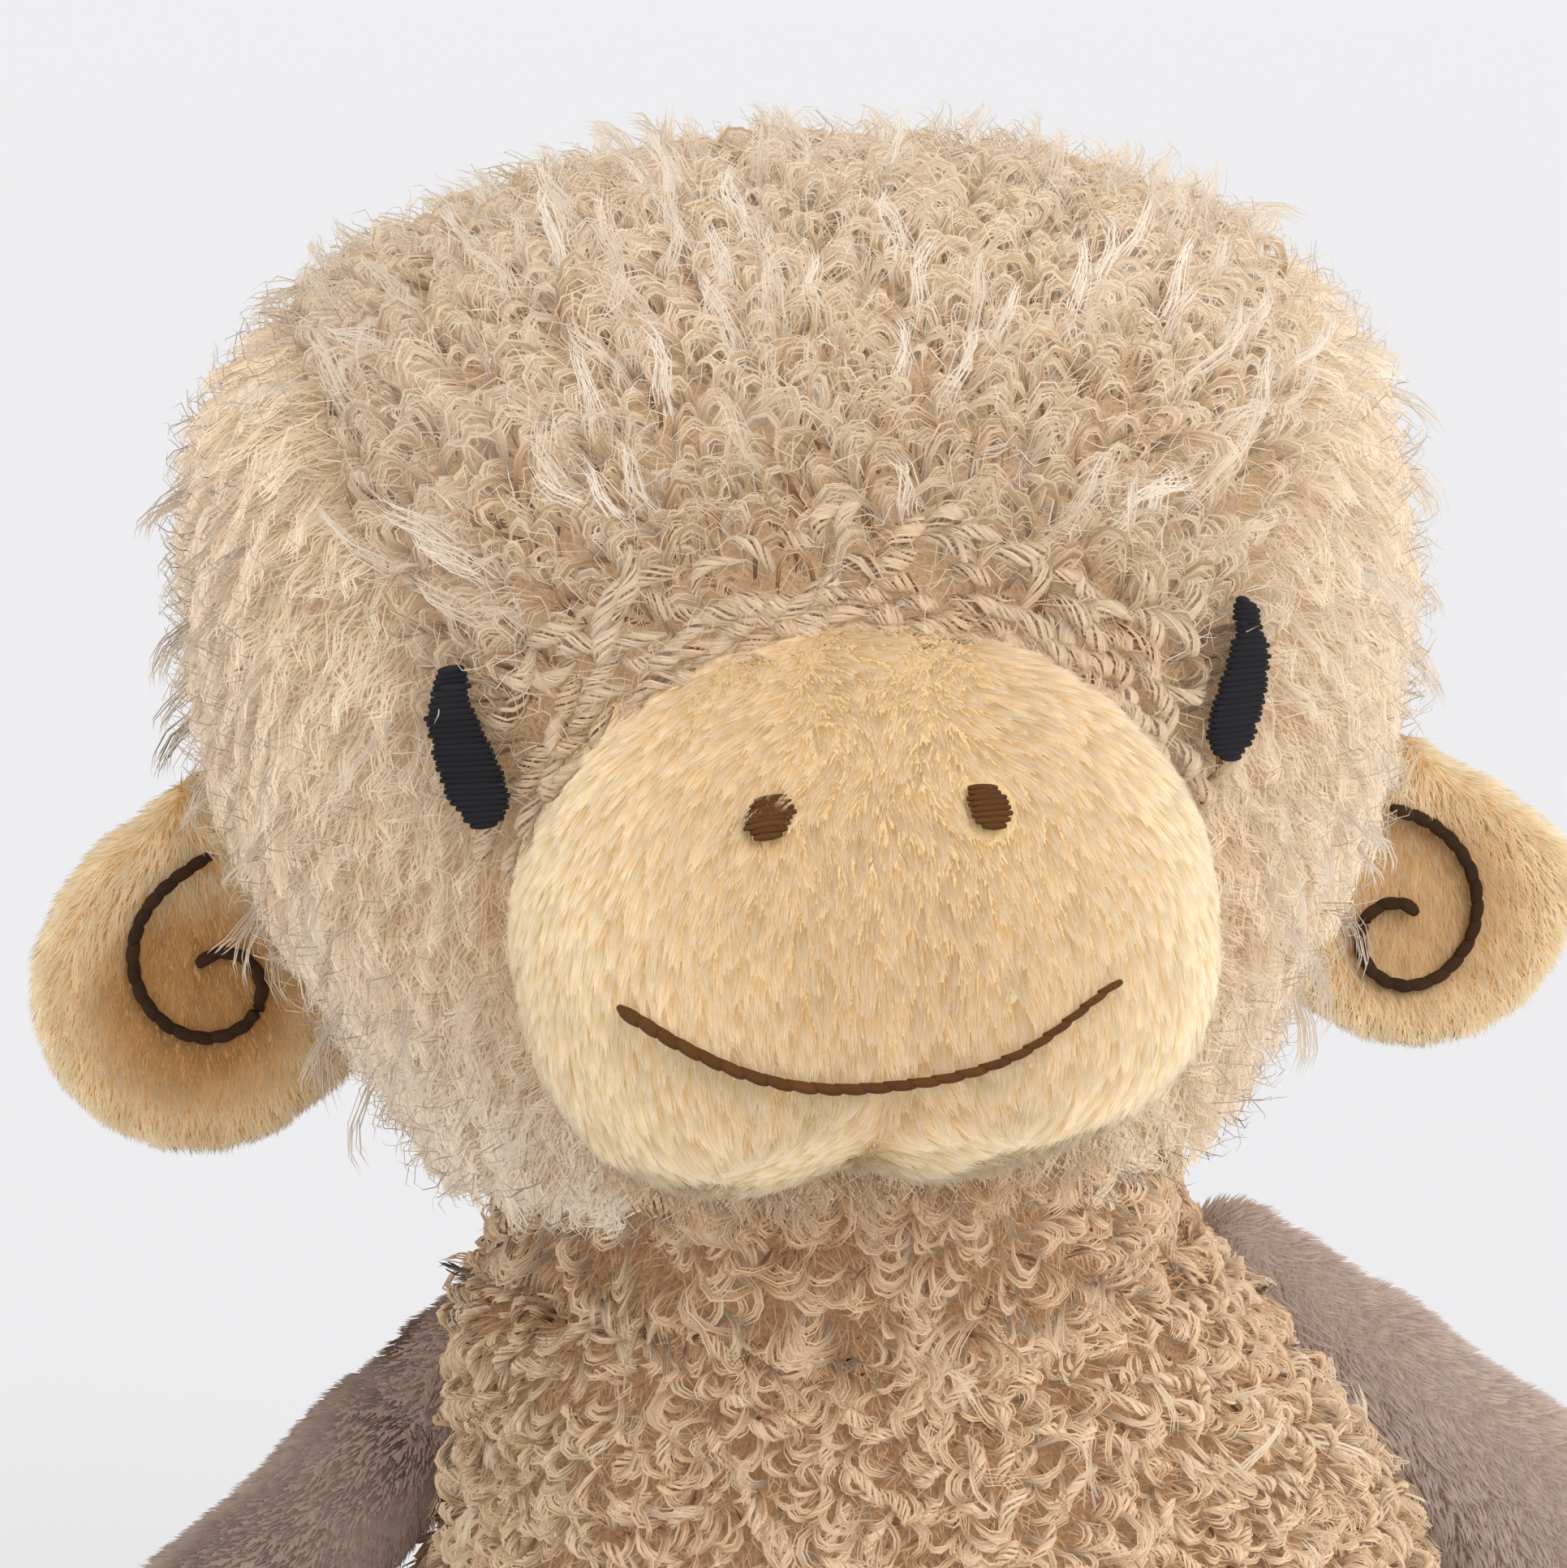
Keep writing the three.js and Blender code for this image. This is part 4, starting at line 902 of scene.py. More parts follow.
skin_parts = {
    "head": ("head", curly_cloth, "curly_pile", ["head_filling"], 0.8),
    "torso": ("torso", shaded_torso_cloth, "curly_pile", ["torso_filling", "seat_bean_bag"], 0.7),
    "seat": ("torso", shaded_torso_cloth, "curly_pile", ["torso_seat_panel"], 0.6),
    "muzzle": ("head", yellow_cloth, "yellow_plush", [], 0.8),
    "neck": ("neck", shaded_torso_cloth, "curly_pile", ["neck_filling"], 0.7),
    "tail": ("tail", taupe_cloth, "taupe_plush", ["tail_filling"], 0.7),
}
for side in SIDES:
    skin_parts[f"{side}_ear"] = (f"{side}_ear", ear_cloth, "yellow_plush", [f"{side}_ear_filling"], 0.5)
    skin_parts[f"{side}_arm"] = (f"{side}_arm", taupe_cloth, "taupe_plush", [f"{side}_arm_filling"], 0.6)
    skin_parts[f"{side}_leg"] = (f"{side}_leg", taupe_cloth, "taupe_plush", [f"{side}_leg_filling"], 0.6)
for name, (body, cloth, slot, nodes, fill) in skin_parts.items():
    skin = skins[name]
    if name not in NOT_SWOLLEN:
        stuff(skin, SWELL_CAP)
    skin.data.materials.append(cloth)
    if name.endswith(("_arm", "_leg")):
        end = name.replace("arm", "hand").replace("leg", "foot")
        patch_cloth(skin, yellow_cloth, [f"{name}_cover", f"{end}_cover"])
    skin.data.polygons.foreach_set("use_smooth", np.ones(len(skin.data.polygons), bool))
    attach(skin, body)
    if nodes:
        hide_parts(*nodes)

# %% [markdown]
# The face is embroidered before the toy is sewn up. The places of its threads are needed first, because the
# pile keeps clear of them. A machine sewed the face, and it came out a little to one side of the muzzle's
# middle, so the eyes, nostrils and smile are moved by what the picture shows.

# %% Places on the face
EYE_SHIFTS = {"left": np.array([0.0, 0.0, 1.5]), "right": np.array([0.0, 0.0, 0.9])}
NOSTRIL_SHIFTS = {"left": np.array([-1.1, 0.0, 0.7]), "right": np.array([-1.1, 0.0, 1.7])}
SMILE_SHIFT = np.array([-2.6, 0.0, 0.8])
SMILE_POINTS = 60
SEEN_EYE, EYE_OUTWARD = np.linspace(-4.5, 4.5, 7), 1.3
THREAD_LIFT = 0.2


def solid_points(node):
    return np.array([v.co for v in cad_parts[node].data.vertices])


def solid_axes(node, shift):
    """The middle of a thin solid, moved by some millimetres, and its axes to the front, up and across."""
    points = solid_points(node)
    middle = points.mean(0)
    thin = np.linalg.svd(points - middle)[2][2]
    normal = thin if thin[Y] < 0 else -thin
    rise = unit(-DOWN - normal[Z] * normal)
    return middle + MM * shift, normal, rise, np.cross(rise, normal)


def on_solid(tree, points, normal, lift=0.0):
    """Points dropped onto a solid against a normal, or to its depth beside it, and lifted by millimetres."""
    dropped = []
    for point in points:
        hit = tree.ray_cast(Vector(point + 30 * MM * normal), Vector(-normal))[0]
        if hit is None:
            beside = np.array(tree.find_nearest(Vector(point))[0])
            hit = point + ((beside - point) @ normal) * normal
        dropped.append(np.array(hit) + lift * MM * normal)
    return np.array(dropped)


def middle_line(node, count):
    """The line through the middle of a thread solid that runs across the toy, as a smooth curve."""
    points = solid_points(node) / MM
    across = np.linspace(points[:, X].min(), points[:, X].max(), count)
    forward, rise = (np.polyval(np.polyfit(points[:, X], points[:, axis], 6), across) for axis in (Y, Z))
    return np.stack([across, forward, rise], axis=1)


def eye_line(side):
    """Points up the middle of an eye, which lean outward at the top, where the brow covers the inner half."""
    middle, _, rise, across = eyes[side]
    outward = np.sign(middle[X]) * np.sign(across[X]) * EYE_OUTWARD * (SEEN_EYE / SEEN_EYE[-1] + 0.7)
    return middle + MM * (np.outer(SEEN_EYE, rise) + np.outer(outward, across))


eyes = {side: solid_axes(f"{side}_eye", EYE_SHIFTS[side]) for side in SIDES}
eye_points = np.concatenate([eye_line(side) for side in SIDES])
nostrils = {side: solid_axes(f"{side}_nostril", NOSTRIL_SHIFTS[side]) for side in SIDES}
smile = MM * (middle_line("mouth_stitching", SMILE_POINTS) + SMILE_SHIFT)
smile = on_solid(solid_tree("muzzle_cover"), smile, FORWARD, THREAD_LIFT)
print("smile from", (smile[0] / MM).round(1), "to", (smile[-1] / MM).round(1))

# %% [markdown]
# The spiral of an ear runs in from the rim and closes up towards its middle. It is drawn on the flat plane
# of the ear and dropped onto the plush. The two ears were folded differently when they were sewn in, so the
# spirals sit at different places.

# %% Places on the ears
EAR_PIVOT = np.array([55.648, 3.154, 136.876]) * MM
EAR_OUTWARD = np.array([0.89145, 0.03278, -0.45193])
EAR_BACK = np.array([-0.03674, 0.99932, 0.0])
EAR_CENTRE_OUT = 4.0
SPIRAL_OUTER, SPIRAL_INNER, SPIRAL_EASE = 12.2, 2.8, 2.4
SPIRAL_START, SPIRAL_SWEEP = np.radians([117, 408])
SPIRAL_INSETS = {"left": 1.4, "right": 3.0}
SPIRAL_DROPS = {"left": 4.7, "right": 0.2}
SPIRAL_POINTS = 90


def ear_axes(side):
    """The ear's hinge point and its axes outward, back and up."""
    axes = (EAR_PIVOT, EAR_OUTWARD, EAR_BACK, np.cross(EAR_OUTWARD, EAR_BACK))
    return [axis * MIRROR[side] for axis in axes]


def spiral_line(side):
    """Points along the spiral on an ear, on the face of its plush."""
    share = np.linspace(0, 1, SPIRAL_POINTS)
    angle = SPIRAL_START - SPIRAL_SWEEP * share
    radius = SPIRAL_INNER + (SPIRAL_OUTER - SPIRAL_INNER) * (1 - share) ** SPIRAL_EASE
    across = EAR_CENTRE_OUT + radius * np.cos(angle) - SPIRAL_INSETS[side]
    rise = radius * np.sin(angle) - SPIRAL_DROPS[side]
    pivot, outward, back, up = ear_axes(side)
    flat = pivot + MM * (np.outer(across, outward) + np.outer(rise, up))
    return on_solid(solid_tree(f"{side}_ear_front"), flat, -back, THREAD_LIFT)


spirals = {side: spiral_line(side) for side in SIDES}
print("spirals:", {side: len(line) for side, line in spirals.items()}, "points")

# %% [markdown]
# The head's cover has four panels. On the crown panel the ringlets fan up from the muzzle and over to the
# nape. Close to the muzzle the brow overhangs, so the pile there is deeper in shadow.

# %% Crown
MUZZLE_MIDDLE = np.array([0, -42, 150]) * MM
FACE_DEPTH = 12 * MM
HEAD_SOLIDS = HEAD_PANELS + ["muzzle_cover"]
CROWN, MUZZLE = HEAD_SOLIDS.index("head_crown_panel"), HEAD_SOLIDS.index("muzzle_cover")
OVERHANG = [28, 46]
EYE_CLEAR, MUZZLE_CLEAR = 3.4, 3.5
LOCK_SPACING = 2.4

muzzle_tree = solid_tree("muzzle_cover")


def fanned(roots):
    """Out from the middle of the muzzle, along the cloth."""
    return roots.flow(roots.place - MUZZLE_MIDDLE)


def distance_to_muzzle(roots):
    """How far roots on the brow lie from the muzzle's raised edge, in millimetres."""
    raised = np.array([0, 0, MUZZLE_RISE * MM])
    return np.array([muzzle_tree.find_nearest(point)[3] for point in roots.place - raised]) / MM


def dimmed(strands):
    """The same strands, darker the closer they grow to the muzzle, where the brow overhangs."""
    paths, radii, across, marks = strands
    distance = np.linalg.norm(paths[:, :1] - MUZZLE_MIDDLE, axis=-1) / MM
    deeper = marks["along"] ** np.interp(distance, OVERHANG, [1.9, 1.0])
    return paths, radii, across, {**marks, "along": deeper * np.interp(distance, OVERHANG, [0.8, 1.0])}


rng = chance("head")
lock_roots = spaced(skins["head"], LOCK_SPACING, rng)
owner = nearest_solid(lock_roots, HEAD_SOLIDS, handicap=0.4)
crown = lock_roots.keep((owner == CROWN) & away_from(lock_roots, eye_points, EYE_CLEAR))
from_muzzle = distance_to_muzzle(crown)
facing = crown.place[:, Y] < FACE_DEPTH
front, nape = crown.keep(facing & (from_muzzle > MUZZLE_CLEAR)), crown.keep(~facing)
front_locks = loops(front, fanned(front), rng, width=1.7, fibres=7, core=0.26, fine=0.09, steps=7)
dress("head_crown_curls", dimmed(front_locks), curly, "head", "head_crown_panel", shadow=True)

# %% [markdown]
# Along the muzzle the brow ends in short twisted ropes, which hide the edge of the yellow plush. A loose
# row lies a little back from the edge, and a close one right on it. The nape is not in the picture and gets
# plainer locks. Fine fluff lies over all of the crown.

# %% Brow, nape and fluff
FLUFF_SHARE, FLUFF_CLEAR = 0.6, 6


def brow_row(spacing, nearest, furthest, handicap, eye_clear, **shape):
    """Ropes along the edge of the muzzle, between two distances from it."""
    roots = spaced(skins["head"], spacing, rng)
    distance = distance_to_muzzle(roots)
    owner = nearest_solid(roots, HEAD_SOLIDS, handicap)
    beside = (distance > nearest) & (distance < furthest) & (owner == CROWN)
    roots = roots.keep(beside & away_from(roots, eye_points, eye_clear))
    return ropes(roots, np.cross(roots.normal, fanned(roots)), rng, strands=12, rise=1.9, **shape)


loose_row = brow_row(2.6, 1.5, 8.5, handicap=1.2, eye_clear=5.0, length=5.5, thick=0.8, twist=0.8, fine=0.17,
                     swing=60, bow=1.2)
edge_row = brow_row(1.7, -1.0, 2.4, handicap=2.0, eye_clear=6.0, length=5.0, thick=0.75, twist=1.0, fine=0.16,
                    swing=24, bow=0.5)
dress("head_brow_ropes", dimmed(together(loose_row, edge_row)), curly, "head", shadow=True)

nape_locks = loops(nape, fanned(nape), rng, fibres=1, core=0.4, steps=6)
dress("head_nape_curls", nape_locks, curly, "head")
fluff = crown.keep((rng.random(len(crown)) < FLUFF_SHARE) & (from_muzzle > FLUFF_CLEAR))
fluff_locks = clumps(fluff, fanned(fluff), rng, tone=rng.uniform(0, 0.5, len(fluff)), length=5.0, rise=3.0,
                     strands=6, wave=0.8, swing=50, thick=0.1)
dress("head_crown_fluff", dimmed(fluff_locks), curly, "head")

# %% [markdown]
# The side panels are brushed down over the cheeks, in wavy clumps, and so is the chin panel below the
# muzzle. The cheek away from the lamp still looks bright in the picture, as light wraps round soft pile, so
# its normals are turned more towards the front.

# %% Cheeks and chin
FRONT_LIGHT = (0.2, -0.8, 0.5)
CHEEK_OUTWARD = {"head_left_panel": 0.35, "head_right_panel": -0.35, "head_chin_panel": 0.0}
CHEEK_WRAP = {"head_left_panel": 1.0, "head_right_panel": 1.8, "head_chin_panel": 1.0}
JAW_TOP, JAW_FADE, JAW_PAINTED_LIGHT = 148 * MM, 20 * MM, 0.8
TUFT_SPACING = 2.3

tuft_roots = spaced(skins["head"], TUFT_SPACING, rng)
owner = nearest_solid(tuft_roots, HEAD_SOLIDS, handicap=1.8)
clear = away_from(tuft_roots, eye_points, EYE_CLEAR)
for panel, outward in CHEEK_OUTWARD.items():
    part = tuft_roots.keep((owner == HEAD_PANELS.index(panel)) & clear)
    # Painted light: low on the cheek turned from the lamp, the strands are toned towards the paler colour.
    jaw_painted_light = np.clip((JAW_TOP - part.place[:, Z]) / JAW_FADE, 0, 1) * (panel == "head_right_panel")
    tone = np.minimum(1, PALEST * rng.random(len(part)) + JAW_PAINTED_LIGHT * jaw_painted_light)
    brushed_down = part.flow(np.array([outward, 0.1, -1.0]))
    locks = clumps(part, brushed_down, rng, tone, length=6.0, strands=10, spread=2.0, thick=0.095, waves=1.6,
                   steps=6)
    locks = lit_from(locks, FRONT_LIGHT, CHEEK_WRAP[panel])
    # The chin wears the darker copy of the curly pile: painted shade under the muzzle.
    finish = shaded_curly if panel == "head_chin_panel" else brushed
    dress(panel.replace("panel", "fur"), locks, finish, "head", panel)

# %% [markdown]
# Between the locks short fibres fill the gaps. Below the curls of the crown little light reaches them, so
# they are darker there. Last come the loose hairs: long wisps over the brow and at the temples, and single
# hairs that stand off the face and soften its outline.

# %% Undercoat and wisps of the head
HEAD_COAT, HAIRS = 1.5, 0.35
CROWN_DEPTH = 0.3
WISP_SHARE, WISP_CLEAR, WISP_EYE_CLEAR = 0.18, 7, 6.0
TEMPLE, TEMPLE_SHARE, TEMPLE_EYE_CLEAR = 38 * MM, 0.09, 8.0

coat_roots = scatter(skins["head"], HEAD_COAT, rng)
coat_roots = coat_roots.keep(away_from(coat_roots, eye_points, 3.0))
coat = undercoat(coat_roots, (0, 0.3, -1.0), rng, thick=0.13)
owner = nearest_solid(coat_roots, HEAD_PANELS)
coat[3]["along"] = coat[3]["along"] * np.where(owner == CROWN, CROWN_DEPTH, 1.0)[:, None]
dress("head_undercoat", lit_from(coat, FRONT_LIGHT, 0.4), brushed, "head")

chosen = (rng.random(len(crown)) < WISP_SHARE) & (from_muzzle > WISP_CLEAR)
wisp_roots = crown.keep(chosen & away_from(crown, eye_points, WISP_EYE_CLEAR))
wisps = clumps(wisp_roots, fanned(wisp_roots), rng, tone=rng.uniform(0.2, 0.9, len(wisp_roots)), length=8.0,
               rise=4.6, strands=13, spread=1.2, wave=0.9, waves=0.8, thick=0.06)
chosen = (np.abs(tuft_roots.place[:, X]) > TEMPLE) & (rng.random(len(tuft_roots)) < TEMPLE_SHARE)
side_roots = tuft_roots.keep(chosen & away_from(tuft_roots, eye_points, TEMPLE_EYE_CLEAR))
side_wisps = clumps(side_roots, side_roots.flow(DOWN), rng, tone=rng.uniform(0.2, 0.6, len(side_roots)),
                    length=7.0, rise=6.0, strands=8, spread=1.0, wave=0.6, waves=0.8, thick=0.08, gather=0.8,
                    swing=50)
hair_roots = scatter(skins["head"], HAIRS, rng)
hair_roots = hair_roots.keep(hair_roots.place[:, Y] < FACE_DEPTH)
owner = nearest_solid(hair_roots, HEAD_SOLIDS, handicap=1.8)
hair_roots = hair_roots.keep((owner != MUZZLE) & away_from(hair_roots, eye_points, 4.6))
hairs = clumps(hair_roots, fanned(hair_roots), rng, tone=rng.uniform(0.1, 0.5, len(hair_roots)), length=4.0,
               rise=4.0, strands=1, wave=0.9, thick=0.06, swing=120)
dress("head_wisps", together(wisps, side_wisps, dimmed(hairs)), wispy, "head")

# %% [markdown]
# The torso wears a darker copy of the same pile, stroked downward. Its ringlets are crimped every way, and
# ropes lie among them. The darker copy is painted shade, as the chest lies in the head's shadow, and the neck
# and the chin wear it too. What the picture doesn't show, the belly, the back and the seat, has the same
# locks with fewer strands.

# %% Torso
SEEN_HEIGHT = 58 * MM
TORSO_FOOT = 4 * MM
TORSO_SPACING, ROPE_SPACING = 2.7, 3.2
TORSO_OUTWARD = np.array([8, 8, 0])
FRONT, BACK, SEAT = range(3)
CRIMPED = {"lean": (0.6, 1.4), "swing": 110, "fine": 0.09}


def hanging(roots):
    """Down along the cloth, and outward where the torso closes in under the neck."""
    return roots.flow(roots.place * TORSO_OUTWARD + DOWN)


def torso_locks(roots, fibres, core, steps, width=2.2):
    return loops(roots, hanging(roots), rng, width, fibres, core=core, steps=steps, **CRIMPED)


rng = chance("torso")
torso_roots = spaced(skins["torso"], TORSO_SPACING, rng)
torso_roots = torso_roots.keep(torso_roots.place[:, Z] > TORSO_FOOT)
owner = nearest_solid(torso_roots, TORSO_PANELS)
chest = torso_roots.place[:, Z] > SEEN_HEIGHT
chest_locks = torso_locks(torso_roots.keep((owner == FRONT) & chest), 6, 0.2, 7, width=1.6)
dress("torso_front_curls", chest_locks, shaded_curly, "torso", "torso_front_panel", shadow=True)
rope_roots = spaced(skins["torso"], ROPE_SPACING, rng)
rope_roots = rope_roots.keep((rope_roots.place[:, Z] > SEEN_HEIGHT) & (rope_roots.place[:, Y] < FACE_DEPTH))
chest_ropes = ropes(rope_roots, hanging(rope_roots), rng, length=4.4, thick=0.6, strands=8, fine=0.15,
                    rise=1.7, swing=80, steps=7)
dress("torso_front_ropes", chest_ropes, shaded_curly, "torso")
belly_locks = torso_locks(torso_roots.keep((owner == FRONT) & ~chest), 1, 0.4, 7)
dress("torso_belly_curls", belly_locks, shaded_curly, "torso")
back_locks = torso_locks(torso_roots.keep(owner == BACK), 1, 0.42, 6)
dress("torso_back_curls", back_locks, shaded_curly, "torso", "torso_back_panel")
dress("torso_seat_curls", torso_locks(torso_roots.keep(owner == SEAT), 1, 0.42, 6), shaded_curly, "torso")

# %% [markdown]
# The torso has an undercoat as well, which is thinned out a little behind, and another on the seat, down to
# where it meets the floor. Wisps and fluff lie over the curls.

# %% Undercoat and wisps of the torso
TORSO_COAT, SEAT_COAT, BACK_SHARE = 1.1, 1.0, 0.8
SEAT_FOOT, SEAT_UNDERSIDE = 2.5 * MM, -0.6
TORSO_WISPS, TORSO_FLUFF = 0.1, 0.45

coat_roots = scatter(skins["torso"], TORSO_COAT, rng)
kept = (coat_roots.place[:, Y] < FACE_DEPTH) | (rng.random(len(coat_roots)) < BACK_SHARE)
coat_roots = coat_roots.keep(kept)
dress("torso_undercoat", undercoat(coat_roots, (0, 0.01, -1.0), rng), shaded_curly, "torso")
seat_roots = scatter(skins["seat"], SEAT_COAT, rng)
on_side = (seat_roots.place[:, Z] > SEAT_FOOT) & (seat_roots.normal[:, Z] > SEAT_UNDERSIDE)
seat_roots = seat_roots.keep(on_side)
seat_coat = undercoat(seat_roots, (0, 0.01, -1.0), rng, length=2.2, rise=1.6)
dress("torso_seat_undercoat", seat_coat, shaded_curly, "torso")

wisp_roots = torso_roots.keep(rng.random(len(torso_roots)) < TORSO_WISPS)
wisps = clumps(wisp_roots, wisp_roots.flow(DOWN), rng, tone=rng.uniform(0.5, 0.9, len(wisp_roots)),
               length=5.5, rise=3.2, strands=6, spread=0.8, wave=0.5, waves=0.6, thick=0.11, gather=0.85,
               swing=180)
chosen = (rng.random(len(torso_roots)) < TORSO_FLUFF) & (torso_roots.place[:, Y] < FACE_DEPTH)
fluff = torso_roots.keep(chosen)
fluff_locks = clumps(fluff, hanging(fluff), rng, tone=rng.uniform(0, 0.35, len(fluff)), length=4.5, rise=2.8,
                     strands=6, wave=0.9, swing=80, thick=0.1)
dress("torso_wisps", together(wisps, fluff_locks), shaded_curly, "torso")

# %% [markdown]
# The neck is a soft crease between the two. Its curls sit on the ball of stuffing, a little deeper than the
# pile above and below, so that the fold shows as a shadow.

# %% Neck
NECK = np.array([0, 0, 112]) * MM
NECK_RADIUS = 31 * MM
NECK_LOCKS, NECK_COAT = 520, 1.2

rng = chance("neck")
turn = rng.uniform(0, 2 * np.pi, NECK_LOCKS)
rise = rng.uniform(-0.75, 0.25, NECK_LOCKS)
out = unit(np.stack([np.cos(turn), np.sin(turn), rise], axis=1))
neck_roots = Roots(NECK + NECK_RADIUS * out, out)
neck_locks = loops(neck_roots, neck_roots.flow(DOWN), rng, width=1.8, fibres=4, core=0.2, steps=7, **CRIMPED)
dress("neck_curls", neck_locks, shaded_curly, "neck")
neck_coat = undercoat(scatter(skins["neck"], NECK_COAT, rng), DOWN, rng)
dress("neck_undercoat", neck_coat, shaded_curly, "neck")

# %% [markdown]
# The muzzle is short plush, stroked down from the brow and a little to the sides. Towards the middle of its
# top it is toned a darker gold, partly its own colour and partly painted shade, which leaves the sides and
# the chin pale, as where the light catches the tips. The pile is parted at the smile and kept off the
# nostrils.

# %% Muzzle
MUZZLE_PILE = 11.0
MUZZLE_SEEN = -33 * MM
TO_THE_SIDES, TO_THE_FRONT, WAVER = 18, 0.8, 0.6
BROW_LOW, BROW_FADE = 150 * MM, 14 * MM
GOLD_SHADE_REACH, GOLD_SHADE_LOW, GOLD_SHADE_FADE = 27 * MM, 126 * MM, 22 * MM
PARTING_RISE = np.array([0, 0, 1.4]) * MM
NOSTRIL_CLEAR, THREAD_CLEAR = 3.5, 1.2

rng = chance("muzzle")
muzzle_roots = scatter(skins["muzzle"], MUZZLE_PILE, rng)
muzzle_roots = muzzle_roots.keep(muzzle_roots.place[:, Y] < MUZZLE_SEEN)
owner = nearest_solid(muzzle_roots, ["muzzle_cover", "head_filling"], handicap=1.5)
dots = np.array([nostrils[side][0] for side in SIDES])
clear = away_from(muzzle_roots, dots, NOSTRIL_CLEAR)
clear = clear & away_from(muzzle_roots, smile + PARTING_RISE, THREAD_CLEAR)
muzzle_roots = muzzle_roots.keep((owner == 0) & clear)
near_brow = np.clip((muzzle_roots.place[:, Z] - BROW_LOW) / BROW_FADE, 0, 1)
waver = WAVER * (patches(muzzle_roots.place, 3.0, rng) - 0.5) * near_brow
sideways = TO_THE_SIDES * muzzle_roots.place[:, X] + waver
down = 1 - 0.5 * near_brow
stroke = muzzle_roots.flow(np.stack([sideways, -TO_THE_FRONT * down, -down], axis=1))
near_middle = np.clip(1 - (muzzle_roots.place[:, X] / GOLD_SHADE_REACH) ** 2, 0, 1)
near_top = np.clip((muzzle_roots.place[:, Z] - GOLD_SHADE_LOW) / GOLD_SHADE_FADE, 0, 1)
# Partly the plush's own gold and partly painted shade, darker towards the middle of the top.
golden_and_shade = near_middle * near_top * rng.uniform(0.22, 0.46, len(muzzle_roots))
muzzle_fibres = plush(muzzle_roots, stroke, rng, length=2.4, rise=0.9, gather=0.5, tone=golden_and_shade)
dress("muzzle_plush", lit_from(muzzle_fibres, FRONT_LIGHT, 1.2), yellow, "head", "muzzle_cover")

# %% [markdown]
# The ears are the same plush with a longer pile, combed out from the middle. The middle is pressed flat, and
# the shade there is painted into the pile, deeper on the ear turned from the lamp. Front and back are
# separate pieces of cloth. Each ear is drawn into the head's pile, and its upper edge is lifted or lowered as
# in the picture.

# %% Ears
EAR_PILE = 9.0
EAR_SHADE = {"left": 0.5, "right": 0.8}
EAR_LIGHT = {"left": 2.0, "right": 1.0}
EAR_ROOT, EAR_IN = [-9, 2], [-5, 0]
EAR_LIFTS = {
    "left": ([-12, -8.6, -5.1, -1.6, 1], [-4.1, -3.8, -3.2, -2.2, -0.6]),
    "right": ([-12, -9, -3.5, 1, 4], [0, 1.1, 2.3, 4.5, 5.5]),
}
LIFT_FADE = 10
HOLLOW_RADIUS, HOLLOW_FADE = 12, 5


def shape_ear(skin, side):
    """Draws the inner edge of an ear into the head's pile, and shapes its upper edge as in the picture."""
    pivot, outward, _, _ = ear_axes(side)
    points = skin_arrays(skin)[0]
    out = (points - pivot) @ outward / MM
    points += MM * np.outer(np.interp(out, EAR_ROOT, EAR_IN), outward)
    away = (points - pivot) / MM - EAR_CENTRE_OUT * outward
    inward = away[:, X] * -MIRROR[side][X]
    points[:, Z] += MM * np.interp(inward, *EAR_LIFTS[side]) * np.clip(away[:, Z] / LIFT_FADE, 0, 1)
    set_points(skin, points)


for side in SIDES:
    rng = chance(f"{side}_ear")
    pivot, outward, back, _ = ear_axes(side)
    centre = pivot + EAR_CENTRE_OUT * MM * outward
    shape_ear(skins[f"{side}_ear"], side)
    ear_roots = scatter(skins[f"{side}_ear"], EAR_PILE, rng)
    ear_roots = ear_roots.keep(away_from(ear_roots, spirals[side], THREAD_CLEAR))
    owner = nearest_solid(ear_roots, [f"{side}_ear_front", f"{side}_ear_back"])
    for number, face in enumerate(["front", "back"]):
        part = ear_roots.keep(owner == number)
        away = np.linalg.norm(np.cross(part.place - centre, back), axis=1) / MM
        # Painted shade: the middle of an ear's front is toned darker, more on the ear turned from the lamp.
        hollow_shade = np.clip((HOLLOW_RADIUS - away) / HOLLOW_FADE, 0, 1) * (face == "front") * EAR_SHADE[side]
        comb = part.flow(part.place - centre + 20 * MM * DOWN)
        fibres = plush(part, comb, rng, length=2.0, rise=1.0, gather=0.15, swing=30, tone=hollow_shade)
        fibres = lit_from(fibres, LAMP_FROM, EAR_LIGHT[side] * (face == "front"))
        dress(f"{side}_ear_{face}_plush", fibres, yellow, f"{side}_ear", f"{side}_ear_{face}")

# %% [markdown]
# Arms and legs are taupe plush, stroked towards their ends, with yellow plush on hands and feet. One arm
# lies in the shadow of the head, which is painted into its plush, the other in the light. Below what the
# picture shows the pile is thinner.

# %% Limbs
ARM_SHADE = {"left": 0.0, "right": 0.5}
ARM_INSIDE = [42, 58]
LEG_SHADE = 0.2
LIMB_DENSITY, HIDDEN_SHARE = 5.0, 0.36
LIMB_WRAP = 0.8
LIMB_PILE = {"length": 1.3, "rise": 1.0, "thick": 0.13}


def limb_tone(roots, side, limb, rng):
    """How dark the plush of a limb looks: on a leg in patches, on an arm a painted shade, in patches and
    deeper towards the torso, as far as that arm lies in shadow.
    """
    cloudy = patches(roots.place, 4.0, rng)
    if limb == "leg":
        return LEG_SHADE * cloudy
    inward = np.interp(np.abs(roots.place[:, X]) / MM, ARM_INSIDE, [1.0, 0.3])
    return np.clip(ARM_SHADE[side] * (cloudy + inward), 0, 1)


